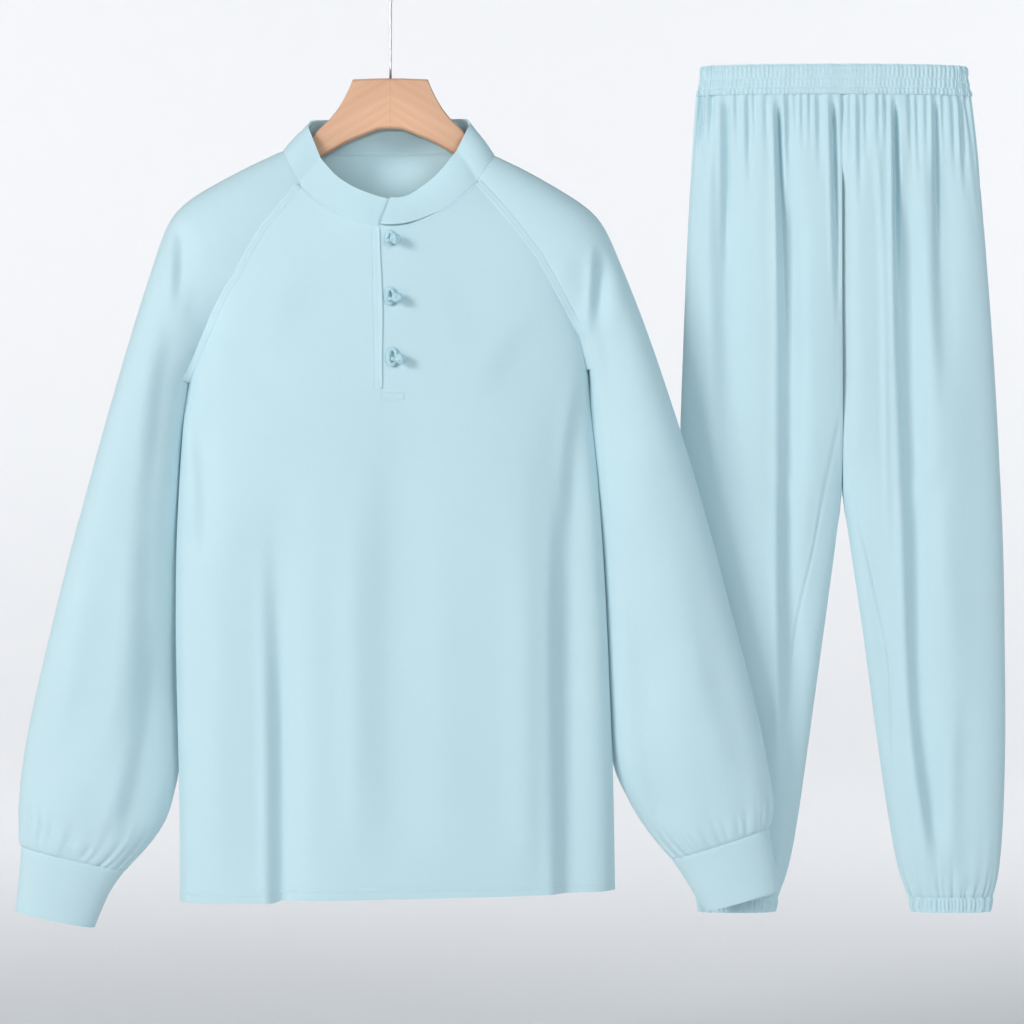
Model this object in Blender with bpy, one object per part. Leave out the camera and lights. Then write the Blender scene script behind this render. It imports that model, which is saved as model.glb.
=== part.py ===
"""Tai chi uniform on a wooden hanger: a raglan pullover with a half placket, and gathered trousers.

Tables are in millimetres. X runs to the wearer's left, the front faces -Y, Z is up.
The origin is the inside top of the hanger's hook, where a rail would carry it.
"""
import bmesh
import bpy
import numpy as np

MM = 0.001
CLOTH = 1.5
COLLAR_CLOTH = 2.0
SEAM_GAP = 0.4
SECTION_POWER = 2.2
# Where this many panel corners meet, as at an armpit or the crotch, they stand a little farther apart.
CROSSING = 4
CROSSING_GAP = 0.6

CLOTH_COLOUR = (0.58, 0.80, 0.86, 1.0)
WOOD_COLOUR = (0.87, 0.60, 0.40, 1.0)
STEEL_COLOUR = (0.62, 0.60, 0.58, 1.0)

# Raglan rows run from the neck to the armpit: seam x and z, outer outline x and z, how far the seam turns in
# round the sleeve in degrees (90 is a closed tube), front depth, back depth.
RAGLAN_LEFT = (
    (-97.5, -262.7, -118.3, -223.3, 0, 27, 30),
    (-119.9, -290.6, -154.6, -239.8, 5, 34, 35),
    (-138.1, -313.9, -192.0, -259.6, 10, 38, 38),
    (-152.1, -337.9, -220.6, -276.1, 16, 41, 39),
    (-165.3, -363.9, -239.3, -293.7, 24, 42, 38),
    (-177.5, -381.0, -249.2, -313.5, 34, 41, 36),
    (-187.9, -400.2, -258.0, -339.9, 48, 38, 34),
    (-207.6, -443.2, -276.6, -393.8, 66, 36, 31),
    (-223.9, -477.4, -296.5, -462.0, 90, 34, 28),
)
RAGLAN_RIGHT = (
    (95.5, -259.4, 115.0, -228.8, 0, 27, 30),
    (113.0, -278.6, 144.7, -242.5, 5, 34, 35),
    (129.3, -297.6, 173.2, -258.5, 10, 38, 38),
    (142.3, -314.0, 197.5, -272.8, 16, 41, 39),
    (163.0, -341.0, 221.7, -289.3, 24, 42, 38),
    (177.2, -365.8, 237.1, -308.0, 34, 41, 36),
    (195.8, -400.2, 252.5, -345.4, 48, 38, 34),
    (211.3, -429.0, 271.1, -390.5, 66, 36, 31),
    (219.5, -464.2, 291.0, -444.4, 90, 34, 28),
)
# Lower sleeve rows run from below the armpit to the cuff seam: inner edge x and z, outer edge x and z,
# middle y, front depth, back depth.
SLEEVE_LEFT = (
    (-232.8, -552.0, -318.8, -537.6, 5, 36, 25),
    (-237.2, -629.2, -340.9, -616.0, 9, 38, 22),
    (-239.0, -706.5, -362.9, -698.7, 11, 40, 20),
    (-238.6, -778.2, -381.7, -772.7, 12, 41, 20),
    (-237.4, -844.4, -397.1, -841.1, 12, 41, 20),
    (-236.6, -899.6, -406.5, -891.9, 12, 40, 20),
    (-239.3, -947.0, -412.6, -943.7, 12, 37, 20),
    (-260.3, -982.4, -410.9, -973.5, 11, 31, 20),
    (-284.0, -1006.0, -411.5, -983.0, 10, 27, 21),
    (-292.3, -1015.5, -408.2, -989.0, 10, 23, 19),
)
SLEEVE_RIGHT = (
    (226.8, -529.9, 312.4, -507.8, 5, 36, 25),
    (232.8, -607.2, 334.5, -575.2, 9, 38, 22),
    (237.6, -684.4, 354.4, -643.6, 11, 40, 20),
    (241.6, -761.6, 373.1, -714.2, 12, 41, 20),
    (244.6, -833.4, 390.8, -779.3, 12, 41, 20),
    (247.2, -899.6, 407.3, -843.3, 12, 40, 20),
    (258.3, -932.7, 419.5, -901.8, 12, 37, 20),
    (280.4, -970.2, 424.4, -940.4, 11, 31, 20),
    (301.5, -994.5, 421.5, -960.5, 10, 27, 21),
    (309.1, -1003.3, 418.4, -968.0, 10, 23, 19),
)
# Gathers of the last four sleeve rows, from the cuff seam up.
SLEEVE_GATHERS = (0.5, 1.5, 1.3, 0.5)
# Cuff rows below the cuff seam, in the sleeve's columns.
CUFF_LEFT = (
    (-308.5, -1036.0, -410.0, -1012.0, 10, 22, 18),
    (-317.5, -1057.0, -412.2, -1036.0, 10, 21, 17),
    (-326.5, -1078.4, -414.8, -1059.6, 10, 20, 16),
)
CUFF_RIGHT = (
    (323.0, -1023.5, 421.5, -991.0, 10, 22, 18),
    (334.0, -1042.0, 425.5, -1014.0, 10, 21, 17),
    (345.5, -1060.7, 429.4, -1036.4, 10, 20, 16),
)
SLEEVE_STEPS_FRONT = 12
SLEEVE_STEPS_BACK = 8

# The back raglan seam starts higher and nearer the middle of the back neck than the front one.
BACK_NECK_LEFT = (-77.4, -218.4)
BACK_NECK_RIGHT = (67.0, -220.6)

# Side seams of the body, from the armpit to the hem: left x and z, right x and z, front depth, back depth.
BODY = (
    (-223.9, -477.4, 219.5, -464.2, 48, 42),
    (-229.4, -530.2, 223.9, -522.5, 47, 42),
    (-234.9, -621.5, 231.6, -621.5, 46, 42),
    (-237.1, -730.4, 238.2, -730.4, 45, 41),
    (-234.9, -840.4, 242.6, -840.4, 45, 41),
    (-232.7, -931.7, 245.9, -929.5, 45, 41),
    (-232.1, -1046.1, 247.5, -1035.1, 45, 41),
)
BODY_ROWS = 9
NECK_FRONT = ((-97.5, -262.7), (-77.2, -281.3), (-55.1, -294.0), (-32.1, -303.0), (-9.2, -310.0),
              (20.0, -308.7), (43.7, -299.7), (69.6, -283.8), (95.5, -259.4))
NECK_FRONT_DEPTH = 51.0
NECK_BACK_DEPTH = 46.0
# Long folds hanging down: x at the top and at the bottom, depth, half width, top z, bottom z.
BODY_FOLDS = (
    (-118.0, -128.0, 6.0, 22.0, -560.0, -1100.0),
    (12.0, 8.0, 3.5, 26.0, -470.0, -1000.0),
    (190.0, 196.0, 8.0, 22.0, -520.0, -1100.0),
    (-196.0, -190.0, -2.5, 20.0, -560.0, -1100.0),
    (140.0, 150.0, -3.0, 22.0, -560.0, -1100.0),
)
BACK_FOLDS = (
    (-90.0, -100.0, -5.0, 30.0, -450.0, -1100.0),
    (60.0, 70.0, -5.0, 30.0, -480.0, -1100.0),
)

PLACKET_EDGE_TOP = -9.0
PLACKET_EDGE_BOTTOM = -6.0
PLACKET_WIDTH = 11.0
PLACKET_LIFT = 0.3
PLACKET_CLOTH = 1.2
PLACKET_TOP_SHARE = 0.05
LEFT_STEPS = 10
RIGHT_STEPS = 11
BACK_COLUMNS = 13
BACK_EDGE_SHARE = 0.4
# How full the front and back are across, at the neck and from the armpit down.
NECK_POWER = 2.0
CHEST_POWER = 2.4
NECK_ROUNDNESS = 0.8
CHEST_ROUNDNESS = 0.417
# How far the cross rows of the front follow the neck's curve: at the neck, at the armpit, loss per row below.
NECK_DIP = 0.65
ARMHOLE_DIP = 0.35
DIP_LOSS = 0.12
BACK_NECK_EASE = 1.3
FOLD_START = 0.6
FOLD_EVENNESS = 0.7

COLLAR_LEAN = 0.77
COLLAR_HEIGHT_LEFT = 28.0
COLLAR_HEIGHT_RIGHT = 35.0
COLLAR_HEIGHT_FRONT = 30.0
COLLAR_HEIGHT_BACK = 36.0
COLLAR_LAP = 2.6
COLLAR_LAP_RISE = 0.8
COLLAR_SLANT = 9.0
# Shares of the lap in the first columns from the lapping end, and how many columns each end slants or tucks under.
COLLAR_LAP_SHARES = (1.0, 1.0, 1.0, 0.7, 0.3)
COLLAR_SLANT_COLUMNS = (5, 6)
COLLAR_TUCK = 3
COLLAR_MIDDLE = (-1.0, 0.0)
COLLAR_HALF_WIDTH = 110.0
COLLAR_HALF_DEPTH = 50.0
COLLAR_BULGE = 0.02

BUTTON_RADIUS = 5.6
BUTTONS = ((8.0, -325.5), (10.1, -389.0), (13.1, -454.9))
LOOP_CORD = 1.7
LOOP_LIFT = 0.5
BUTTON_REST = 0.3
# Loops: middle x and z, half width, half height of the cord's middle line.
LOOPS = ((1.7, -323.5, 4.0, 6.3), (1.7, -386.7, 4.6, 8.2), (3.8, -452.3, 5.0, 9.0))

# Hanger stations: x, top z, bottom z, half thickness.
HANGER = (
    (-205.0, -275.0, -286.0, 5.0),
    (-192.0, -263.6, -286.0, 6.5),
    (-154.6, -242.5, -267.0, 7.0),
    (-118.3, -227.6, -252.5, 7.0),
    (-88.6, -211.2, -238.7, 7.5),
    (-78.7, -200.2, -232.1, 8.0),
    (-66.6, -189.2, -224.9, 8.0),
    (-57.8, -178.2, -220.0, 8.0),
    (-51.2, -167.2, -216.1, 8.0),
    (-45.7, -156.2, -213.4, 8.0),
    (-41.2, -145.2, -211.2, 8.0),
    (-13.8, -144.1, -200.2, 8.0),
    (0.0, -144.1, -199.1, 8.0),
    (13.8, -144.1, -200.2, 8.0),
    (41.2, -145.2, -211.2, 8.0),
    (45.7, -156.2, -213.4, 8.0),
    (51.2, -167.2, -216.1, 8.0),
    (57.8, -178.2, -220.0, 8.0),
    (66.6, -189.2, -224.9, 8.0),
    (78.7, -200.2, -232.1, 8.0),
    (88.6, -212.0, -238.7, 7.5),
    (115.0, -232.9, -257.0, 7.0),
    (144.7, -245.3, -269.5, 7.0),
    (173.2, -261.7, -284.0, 6.5),
    (190.0, -275.5, -286.0, 5.0),
)
HANGER_CHAMFER = 0.32
HOOK_WIRE = 1.75
HOOK_BEND = 20.0
HOOK_FOOT = -143.6
# The bend's sweep in degrees from its back to its tip, and the shank's points below it.
HOOK_SWEEP = (132, -128)
HOOK_STEPS = 17
HOOK_SHANK = ((0, HOOK_FOOT), (0, -58), (1.5, -51), (7, -42.5))

# Leg rows run from the waist seam to the ankle casing: outer x, inner x, z, how far the middle seam turns in
# round the leg in degrees, front depth, back depth, gather.
TROUSERS_Y = 55.0
LEG_LEFT = (
    (340.7, 500.8, -155.9, 0, 24, 22, 1.8),
    (336.2, 500.8, -204.0, 0, 27, 25, 1.2),
    (332.9, 500.8, -248.8, 2, 28, 27, 0.7),
    (328.4, 500.8, -338.3, 6, 29, 28, 0.3),
    (325.1, 500.8, -427.9, 14, 29, 29, 0.0),
    (321.7, 501.9, -517.4, 34, 29, 29, 0.0),
    (320.6, 502.5, -567.8, 58, 28, 28, 0.0),
    (319.5, 503.0, -603.6, 90, 28, 28, 0.0),
    (319.5, 494.1, -674.1, 90, 27, 27, 0.0),
    (319.5, 481.8, -763.7, 90, 26, 26, 0.0),
    (321.7, 469.5, -853.2, 90, 25, 25, 0.0),
    (326.2, 457.1, -942.8, 90, 24, 24, 0.0),
    (331.8, 445.9, -1009.9, 90, 22, 22, 0.4),
    (337.4, 435.9, -1037.9, 90, 19, 19, 1.1),
    (339.6, 430.3, -1050.2, 90, 16, 16, 1.4),
)
LEG_RIGHT = (
    (646.3, 500.8, -155.9, 0, 24, 22, 1.8),
    (653.0, 500.8, -204.0, 0, 27, 25, 1.2),
    (657.5, 500.8, -248.8, 2, 28, 27, 0.7),
    (665.3, 500.8, -338.3, 6, 29, 28, 0.3),
    (672.1, 500.8, -427.9, 14, 29, 29, 0.0),
    (677.6, 501.9, -517.4, 34, 29, 29, 0.0),
    (679.9, 502.5, -567.8, 58, 28, 28, 0.0),
    (682.1, 503.0, -603.6, 90, 28, 28, 0.0),
    (684.9, 514.2, -674.1, 90, 27, 27, 0.0),
    (686.0, 527.7, -763.7, 90, 26, 26, 0.0),
    (686.6, 538.8, -853.2, 90, 25, 25, 0.0),
    (684.9, 551.2, -942.8, 90, 24, 24, 0.0),
    (681.0, 562.4, -1009.9, 90, 22, 22, 0.4),
    (675.4, 571.3, -1037.9, 90, 19, 19, 1.1),
    (670.9, 578.0, -1050.2, 90, 16, 16, 1.4),
)
LEG_STEPS_FRONT = 20
LEG_STEPS_BACK = 10
LEG_FRONT_DEPTH = 24.0
LEG_FOLDS = (
    (568.0, 614.0, 8.0, 11.0, -160.0, -1045.0),
    (440.3, 447.0, 7.0, 10.0, -160.0, -990.0),
    (372.0, 376.0, 4.0, 14.0, -170.0, -620.0),
    (613.0, 616.0, 4.0, 12.0, -170.0, -460.0),
    (500.8, 503.0, 6.0, 10.0, -150.0, -590.0),
)
# Waistband rows above the waist seam: height, growth over the seam, share of the gathers kept.
WAIST_ROWS = ((-122.2, 0.0, 0.9), (-127.5, 1.6, 0.8), (-133.0, -0.6, 0.5), (-138.0, 1.4, 0.7), (-143.0, -0.6, 0.5),
              (-149.5, 1.4, 0.8))
WAIST_TOP_SCALE = 0.968
# Ankle casing rows: height and size against the seam.
ANKLE_ROWS = ((-1058.8, 0.985), (-1067.0, 0.95))


def clear_scene():
    for old in list(bpy.data.objects):
        bpy.data.objects.remove(old, do_unlink=True)


def material(name, colour, roughness, metallic=0.0):
    made = bpy.data.materials.new(name)
    made.use_nodes = True
    shader = made.node_tree.nodes["Principled BSDF"]
    shader.inputs["Base Color"].default_value = colour
    shader.inputs["Roughness"].default_value = roughness
    shader.inputs["Metallic"].default_value = metallic
    return made


def smooth(at, known, values):
    """Values at each place of `at` on a smooth line through the known places."""
    at, known, values = (np.asarray(part, float) for part in (at, known, values))
    slope = np.gradient(values, known)
    low = np.clip(np.searchsorted(known, at) - 1, 0, len(known) - 2)
    span = known[low + 1] - known[low]
    s = np.clip((at - known[low]) / span, 0, 1)
    start = values[low] * (2 * s**3 - 3 * s**2 + 1) + slope[low] * span * (s**3 - 2 * s**2 + s)
    return start + values[low + 1] * (3 * s**2 - 2 * s**3) + slope[low + 1] * span * (s**3 - s**2)


def blend(table, rows):
    """The table's columns at evenly spaced rows."""
    table = np.array(table, float)
    at = np.linspace(0, len(table) - 1, rows)
    return np.column_stack([smooth(at, np.arange(len(table)), column) for column in table.T])


def rounded(value, power=SECTION_POWER):
    """A sine or cosine squared off as in a superellipse."""
    return np.sign(value) * np.abs(value) ** (2 / power)


def wrap(front, back, outer, turn, middle_y, depths, steps):
    """One row round a tube or half tube, from the front seam over the outer side to the back seam."""
    turn = np.radians(turn)
    angle = np.concatenate([np.linspace(-turn, np.pi / 2, steps[0] + 1),
                            np.linspace(np.pi / 2, np.pi + turn, steps[1] + 1)[1:]])
    across = rounded(np.sin(angle))
    depth = rounded(np.cos(angle))
    depth[np.abs(depth) < 1e-6] = 0
    is_front = (np.arange(len(angle)) <= steps[0])[:, None]
    outer = np.array(outer, float)
    seam = np.where(is_front, np.array(front, float), np.array(back, float))
    quarter = outer + (seam - outer) / (1 + rounded(np.sin(turn)))
    place = outer + (quarter - outer) * (1 - across)[:, None]
    y = middle_y - depth * np.where(is_front[:, 0], depths[0], depths[1])
    return np.column_stack([place[:, 0], y, place[:, 1]])


def fold(points, table):
    """Push points along Y at each long fold: a depth over 0 is in at the front, one under 0 is in at the back."""
    pushed = points.copy()
    for top_x, bottom_x, depth, half_width, top_z, bottom_z in table:
        down = np.clip((top_z - points[..., 2]) / (top_z - bottom_z), 0, 1)
        line = top_x + (bottom_x - top_x) * down
        fade = np.sin(np.pi * down**FOLD_START) ** FOLD_EVENNESS
        pushed[..., 1] += depth * fade * np.exp(-((points[..., 0] - line) / half_width) ** 2)
    return pushed


def normals(grid, ring=False):
    down = np.gradient(grid, axis=0)
    across = np.gradient(grid, axis=1)
    if ring:
        across = np.roll(grid, -1, axis=1) - np.roll(grid, 1, axis=1)
    out = np.cross(down, across)
    return out / np.maximum(np.linalg.norm(out, axis=2, keepdims=True), 1e-9)


def sleeve(raglan, lower, back_neck):
    count = len(raglan) - 1
    rows = []
    for index, (seam_x, seam_z, outer_x, outer_z, turn, front, back) in enumerate(raglan):
        share = ((count - index) / count) ** BACK_NECK_EASE
        high = (seam_x + (back_neck[0] - raglan[0][0]) * share, seam_z + (back_neck[1] - raglan[0][1]) * share)
        rows.append(wrap((seam_x, seam_z), high, (outer_x, outer_z), turn, 0, (front, back),
                         (SLEEVE_STEPS_FRONT, SLEEVE_STEPS_BACK)))
    grid = np.array(rows + tube_rows(lower))
    gather = np.zeros(len(grid))
    gather[-len(SLEEVE_GATHERS):] = SLEEVE_GATHERS[::-1]
    out = normals(grid) * (1 if raglan[0][0] > 0 else -1)
    return grid + out * waves(grid.shape[1])[None, :, None] * gather[:, None, None]


def waves(count):
    """One gather over each pair of columns, none at the seams."""
    wave = np.where(np.arange(count) % 2 == 0, -1.0, 1.0)
    wave[[0, -1]] = 0
    return wave


def tube_rows(table):
    """Closed rows for the lower sleeve and the cuff."""
    steps = (SLEEVE_STEPS_FRONT, SLEEVE_STEPS_BACK)
    return [wrap((inner_x, inner_z), (inner_x, inner_z), (outer_x, outer_z), 90, middle_y, (front, back), steps)
            for inner_x, inner_z, outer_x, outer_z, middle_y, front, back in table]


def eased(count, near_start):
    """Steps from 0 to 1, closer together near one end."""
    even = np.linspace(0, 1, count + 1)
    return even**1.5 if near_start else 1 - (1 - even) ** 1.5


def fullness(across, share):
    """How far a cross row stands out: 0 at its ends, 1 in the middle. share is 0 at the neck, 1 at the armpit."""
    power = NECK_POWER + (CHEST_POWER - NECK_POWER) * share
    roundness = NECK_ROUNDNESS + (CHEST_ROUNDNESS - NECK_ROUNDNESS) * share
    return np.clip(1 - np.abs(2 * across - 1) ** power, 0, 1) ** roundness


def body_front(left, right):
    """Front panel: the ends of its upper rows are the raglan seams."""
    count = len(left) - 1
    neck_x, neck_z = np.array(NECK_FRONT).T
    rows = []
    lower = blend(BODY, BODY_ROWS + 1)
    for index in range(count + 1 + BODY_ROWS):
        if index <= count:
            start, end = left[index], right[index]
            share = index / count
            deepest = -(NECK_FRONT_DEPTH * (1 - share) + BODY[0][4] * share)
            dip = NECK_DIP * (1 - share) ** 1.2 + ARMHOLE_DIP
        else:
            row = lower[index - count]
            start, end = np.array([row[0], 0, row[1]]), np.array([row[2], 0, row[3]])
            deepest = -row[4]
            dip = max(0.0, ARMHOLE_DIP - DIP_LOSS * (index - count))
            share = 1.0
        edge = PLACKET_EDGE_TOP + (PLACKET_EDGE_BOTTOM - PLACKET_EDGE_TOP) * share
        strip = edge - PLACKET_WIDTH
        x = np.concatenate([start[0] + (strip - start[0]) * eased(LEFT_STEPS, True),
                            edge + (end[0] - edge) * eased(RIGHT_STEPS, False)])
        c = (x - start[0]) / (end[0] - start[0])
        neck_c = left[0][0] + (right[0][0] - left[0][0]) * c
        straight = left[0][2] + (right[0][2] - left[0][2]) * c
        sag = straight - smooth(neck_c, neck_x, neck_z)
        z = start[2] + (end[2] - start[2]) * c - sag * dip
        bulge = fullness(c, share)
        ends_y = start[1] + (end[1] - start[1]) * c
        rows.append(np.column_stack([x, ends_y + (deepest - ends_y) * bulge, z]))
    grid = np.array(rows)
    folded = fold(grid, BODY_FOLDS)
    grid[:, 1:-1] = folded[:, 1:-1]
    return grid


def body_back(left, right):
    """Back panel, rows from the back neck down, columns from the wearer's left to right."""
    count = len(left) - 1
    lower = blend(BODY, BODY_ROWS + 1)
    swing = np.cos(np.pi * np.linspace(0, 1, BACK_COLUMNS))
    c = 0.5 - 0.5 * swing * (1 - BACK_EDGE_SHARE + BACK_EDGE_SHARE * np.abs(swing))
    rows = []
    for index in range(count + 1 + BODY_ROWS):
        share = min(index / count, 1.0)
        if index <= count:
            start, end = left[index], right[index]
            deepest = NECK_BACK_DEPTH * (1 - share) + BODY[0][5] * share
        else:
            row = lower[index - count]
            start, end = np.array([row[0], 0, row[1]]), np.array([row[2], 0, row[3]])
            deepest = row[5]
        bulge = fullness(c, share)
        line = start + (end - start) * c[:, None]
        line[:, 1] += (deepest - line[:, 1]) * bulge
        rows.append(line)
    grid = np.array(rows)
    folded = fold(grid, BACK_FOLDS)
    grid[:, 1:-1] = folded[:, 1:-1]
    return grid[:, ::-1]


def leg(table, side):
    """One trouser leg as a single wrapped panel; side is 1 for the picture's right."""
    rows = []
    for outer_x, inner_x, z, turn, front, back, _ in table:
        rows.append(wrap((inner_x, z), (inner_x, z), (outer_x, z), turn, TROUSERS_Y, (front, back),
                         (LEG_STEPS_FRONT, LEG_STEPS_BACK)))
    grid = np.array(rows)
    is_front = np.arange(grid.shape[1]) < LEG_STEPS_FRONT
    weight = np.clip((TROUSERS_Y - grid[..., 1]) / LEG_FRONT_DEPTH, 0, 1)
    folded = fold(grid, LEG_FOLDS)
    grid[:, is_front] += ((folded - grid) * weight[..., None])[:, is_front]
    out = normals(grid) * side
    gather = np.array([row[-1] for row in table])
    return grid + out * waves(grid.shape[1])[None, :, None] * gather[:, None, None]


def waistband(right_top, left_top):
    """A closed ring; its lowest row is the waist seam."""
    seam = np.concatenate([right_top, left_top[::-1][1:-1]])
    middle = np.array([seam[:, 0].mean(), TROUSERS_Y, 0])
    out = normals(np.array([seam + (0, 0, 1), seam, seam - (0, 0, 1)]), True)[1]
    even = (seam + np.roll(seam, 1, axis=0) + np.roll(seam, -1, axis=0)) / 3
    rows = []
    for z, grow, share in WAIST_ROWS:
        up = (z - seam[0, 2]) / (WAIST_ROWS[0][0] - seam[0, 2])
        line = even + (seam - even) * share
        line = middle + (line - middle) * (1 + (WAIST_TOP_SCALE - 1) * up) + out * grow
        line[:, 2] = z
        rows.append(line)
    rows.append(seam)
    return np.array(rows)


def ankle(seam):
    middle = seam.mean(axis=0)
    rows = [seam]
    for z, scale in ANKLE_ROWS:
        line = middle + (seam - middle) * (scale, scale, 0)
        line[:, 2] = z
        rows.append(line)
    return np.array(rows)


def collar(front, right, back, left):
    """Stand collar, going round from the lapping end at the front and ending under it."""
    edge = LEFT_STEPS + 1
    base = np.concatenate([front[edge:], right[1:], back[1:], left[::-1][1:], front[1:edge + COLLAR_TUCK]])
    middle = np.array(COLLAR_MIDDLE)
    spread = base[:, :2] - middle
    angle = np.arctan2(spread[:, 1] / COLLAR_HALF_DEPTH, spread[:, 0] / COLLAR_HALF_WIDTH)
    side = np.cos(angle)
    height = np.where(side > 0, COLLAR_HEIGHT_RIGHT, COLLAR_HEIGHT_LEFT) * np.abs(side) ** 1.5
    along = np.where(np.sin(angle) < 0, COLLAR_HEIGHT_FRONT, COLLAR_HEIGHT_BACK)
    height = height + along * (1 - np.abs(side) ** 1.5)
    rim = base.copy()
    rim[:, :2] = middle + spread * COLLAR_LEAN
    rim[:, 2] += height
    slant = np.zeros(len(base))
    over, under = COLLAR_SLANT_COLUMNS
    slant[:over] = np.linspace(1, 0, over)
    slant[-under:] = np.linspace(0, 1, under)
    rim[:, 0] += COLLAR_SLANT * slant
    halfway = (base + rim) / 2
    halfway[:, :2] += (base[:, :2] - middle) * COLLAR_BULGE
    grid = np.array([rim, halfway, base])
    lap = np.zeros(len(base))
    lap[:len(COLLAR_LAP_SHARES)] = COLLAR_LAP_SHARES
    grid += normals(grid) * (lap * COLLAR_LAP)[None, :, None]
    rise = grid[1] - grid[2]
    rise /= np.linalg.norm(rise, axis=1, keepdims=True)
    grid[2] += rise * (lap > 0)[:, None] * COLLAR_LAP_RISE
    return grid


def share_seams(panels):
    """Give points that lie on a seam one common direction, then draw each panel back from the seam."""
    owners = {}
    for name, panel in panels.items():
        panel["normals"] = normals(panel["grid"], panel["ring"])
        rows, columns = panel["grid"].shape[:2]
        for r in range(rows):
            for c in range(columns):
                on_side = not panel["ring"] and c in (0, columns - 1)
                if r in (0, rows - 1) or on_side:
                    key = tuple(np.round(panel["grid"][r, c], 2))
                    owners.setdefault(key, []).append((name, r, c))
    shared = {key: spots for key, spots in owners.items() if len(spots) > 1}
    on_seam = {name: np.zeros(panel["grid"].shape[:2], bool) for name, panel in panels.items()}
    for spots in shared.values():
        total = sum(panels[name]["normals"][r, c] for name, r, c in spots)
        if np.linalg.norm(total) < 0.6 * len(spots):
            total = total + np.array([0, 0, -1.0])
        total /= np.linalg.norm(total)
        for name, r, c in spots:
            panels[name]["normals"][r, c] = total
            on_seam[name][r, c] = True
    for name, panel in panels.items():
        grid, out, seam = panel["grid"], panel["normals"], on_seam[name]
        moved = grid.copy()
        edges = [(np.s_[0, :], np.s_[1, :]), (np.s_[-1, :], np.s_[-2, :])]
        if not panel["ring"]:
            edges += [(np.s_[:, 0], np.s_[:, 1]), (np.s_[:, -1], np.s_[:, -2])]
        for here, inside in edges:
            line = grid[here]
            mask = seam[here]
            beside = np.concatenate([mask[1:], [False]]) | np.concatenate([[False], mask[:-1]])
            along = np.gradient(line, axis=0)
            along /= np.maximum(np.linalg.norm(along, axis=1, keepdims=True), 1e-9)
            step = grid[inside] - line
            for direction in (along, out[here]):
                step = step - direction * np.sum(step * direction, axis=1, keepdims=True)
            step -= along * np.sum(step * along, axis=1, keepdims=True)
            step /= np.maximum(np.linalg.norm(step, axis=1, keepdims=True), 1e-9)
            moved[here] += step * (mask & beside)[:, None] * SEAM_GAP / 2
        panel["grid"] = moved
    for spots in shared.values():
        if len(spots) < CROSSING:
            continue
        for name, r, c in spots:
            grid = panels[name]["grid"]
            inside = 1 if c == 0 else c - 1
            grid[r, c, 0] += np.sign(grid[r, inside, 0] - grid[r, c, 0]) * CROSSING_GAP / 2


def wall_object(name, grid, out, thickness, ring, mat, collection):
    """A closed wall: the outer points, the same points moved in by the cloth's thickness, and its edges."""
    rows, columns = grid.shape[:2]
    inner = grid - out * thickness
    bm = bmesh.new()
    skins = [[[bm.verts.new(point * MM) for point in row] for row in skin] for skin in (grid, inner)]
    last = columns if ring else columns - 1
    for r in range(rows - 1):
        for c in range(last):
            d = (c + 1) % columns
            bm.faces.new([skins[0][r][c], skins[0][r + 1][c], skins[0][r + 1][d], skins[0][r][d]])
            bm.faces.new([skins[1][r][d], skins[1][r + 1][d], skins[1][r + 1][c], skins[1][r][c]])
    for c in range(last):
        d = (c + 1) % columns
        bm.faces.new([skins[0][0][c], skins[0][0][d], skins[1][0][d], skins[1][0][c]])
        bm.faces.new([skins[0][-1][d], skins[0][-1][c], skins[1][-1][c], skins[1][-1][d]])
    if not ring:
        for r in range(rows - 1):
            bm.faces.new([skins[0][r + 1][0], skins[0][r][0], skins[1][r][0], skins[1][r + 1][0]])
            bm.faces.new([skins[0][r][-1], skins[0][r + 1][-1], skins[1][r + 1][-1], skins[1][r][-1]])
    return mesh_object(name, bm, mat, collection)


def mesh_object(name, bm, mat, collection, place=(0, 0, 0)):
    bmesh.ops.triangulate(bm, faces=bm.faces[:], quad_method="FIXED")
    bmesh.ops.recalc_face_normals(bm, faces=bm.faces[:])
    data = bpy.data.meshes.new(name)
    bm.to_mesh(data)
    bm.free()
    data.materials.append(mat)
    for polygon in data.polygons:
        polygon.use_smooth = True
    made = bpy.data.objects.new(name, data)
    made.location = [value * MM for value in place]
    collection.objects.link(made)
    return made


def hanger(mat, collection):
    """Wooden hanger lofted through its stations, chamfered all round."""
    bm = bmesh.new()
    rings = []
    for x, top, bottom, half in HANGER:
        cut = HANGER_CHAMFER * half
        outline = ((-half, top - cut), (-half + cut, top), (half - cut, top), (half, top - cut),
                   (half, bottom + cut), (half - cut, bottom), (-half + cut, bottom), (-half, bottom + cut))
        rings.append([bm.verts.new((x * MM, y * MM, z * MM)) for y, z in outline])
    for first, second in zip(rings, rings[1:]):
        for k in range(8):
            bm.faces.new([first[k], first[(k + 1) % 8], second[(k + 1) % 8], second[k]])
    bm.faces.new(rings[0])
    bm.faces.new(rings[-1])
    return mesh_object("hanger", bm, mat, collection)


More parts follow.
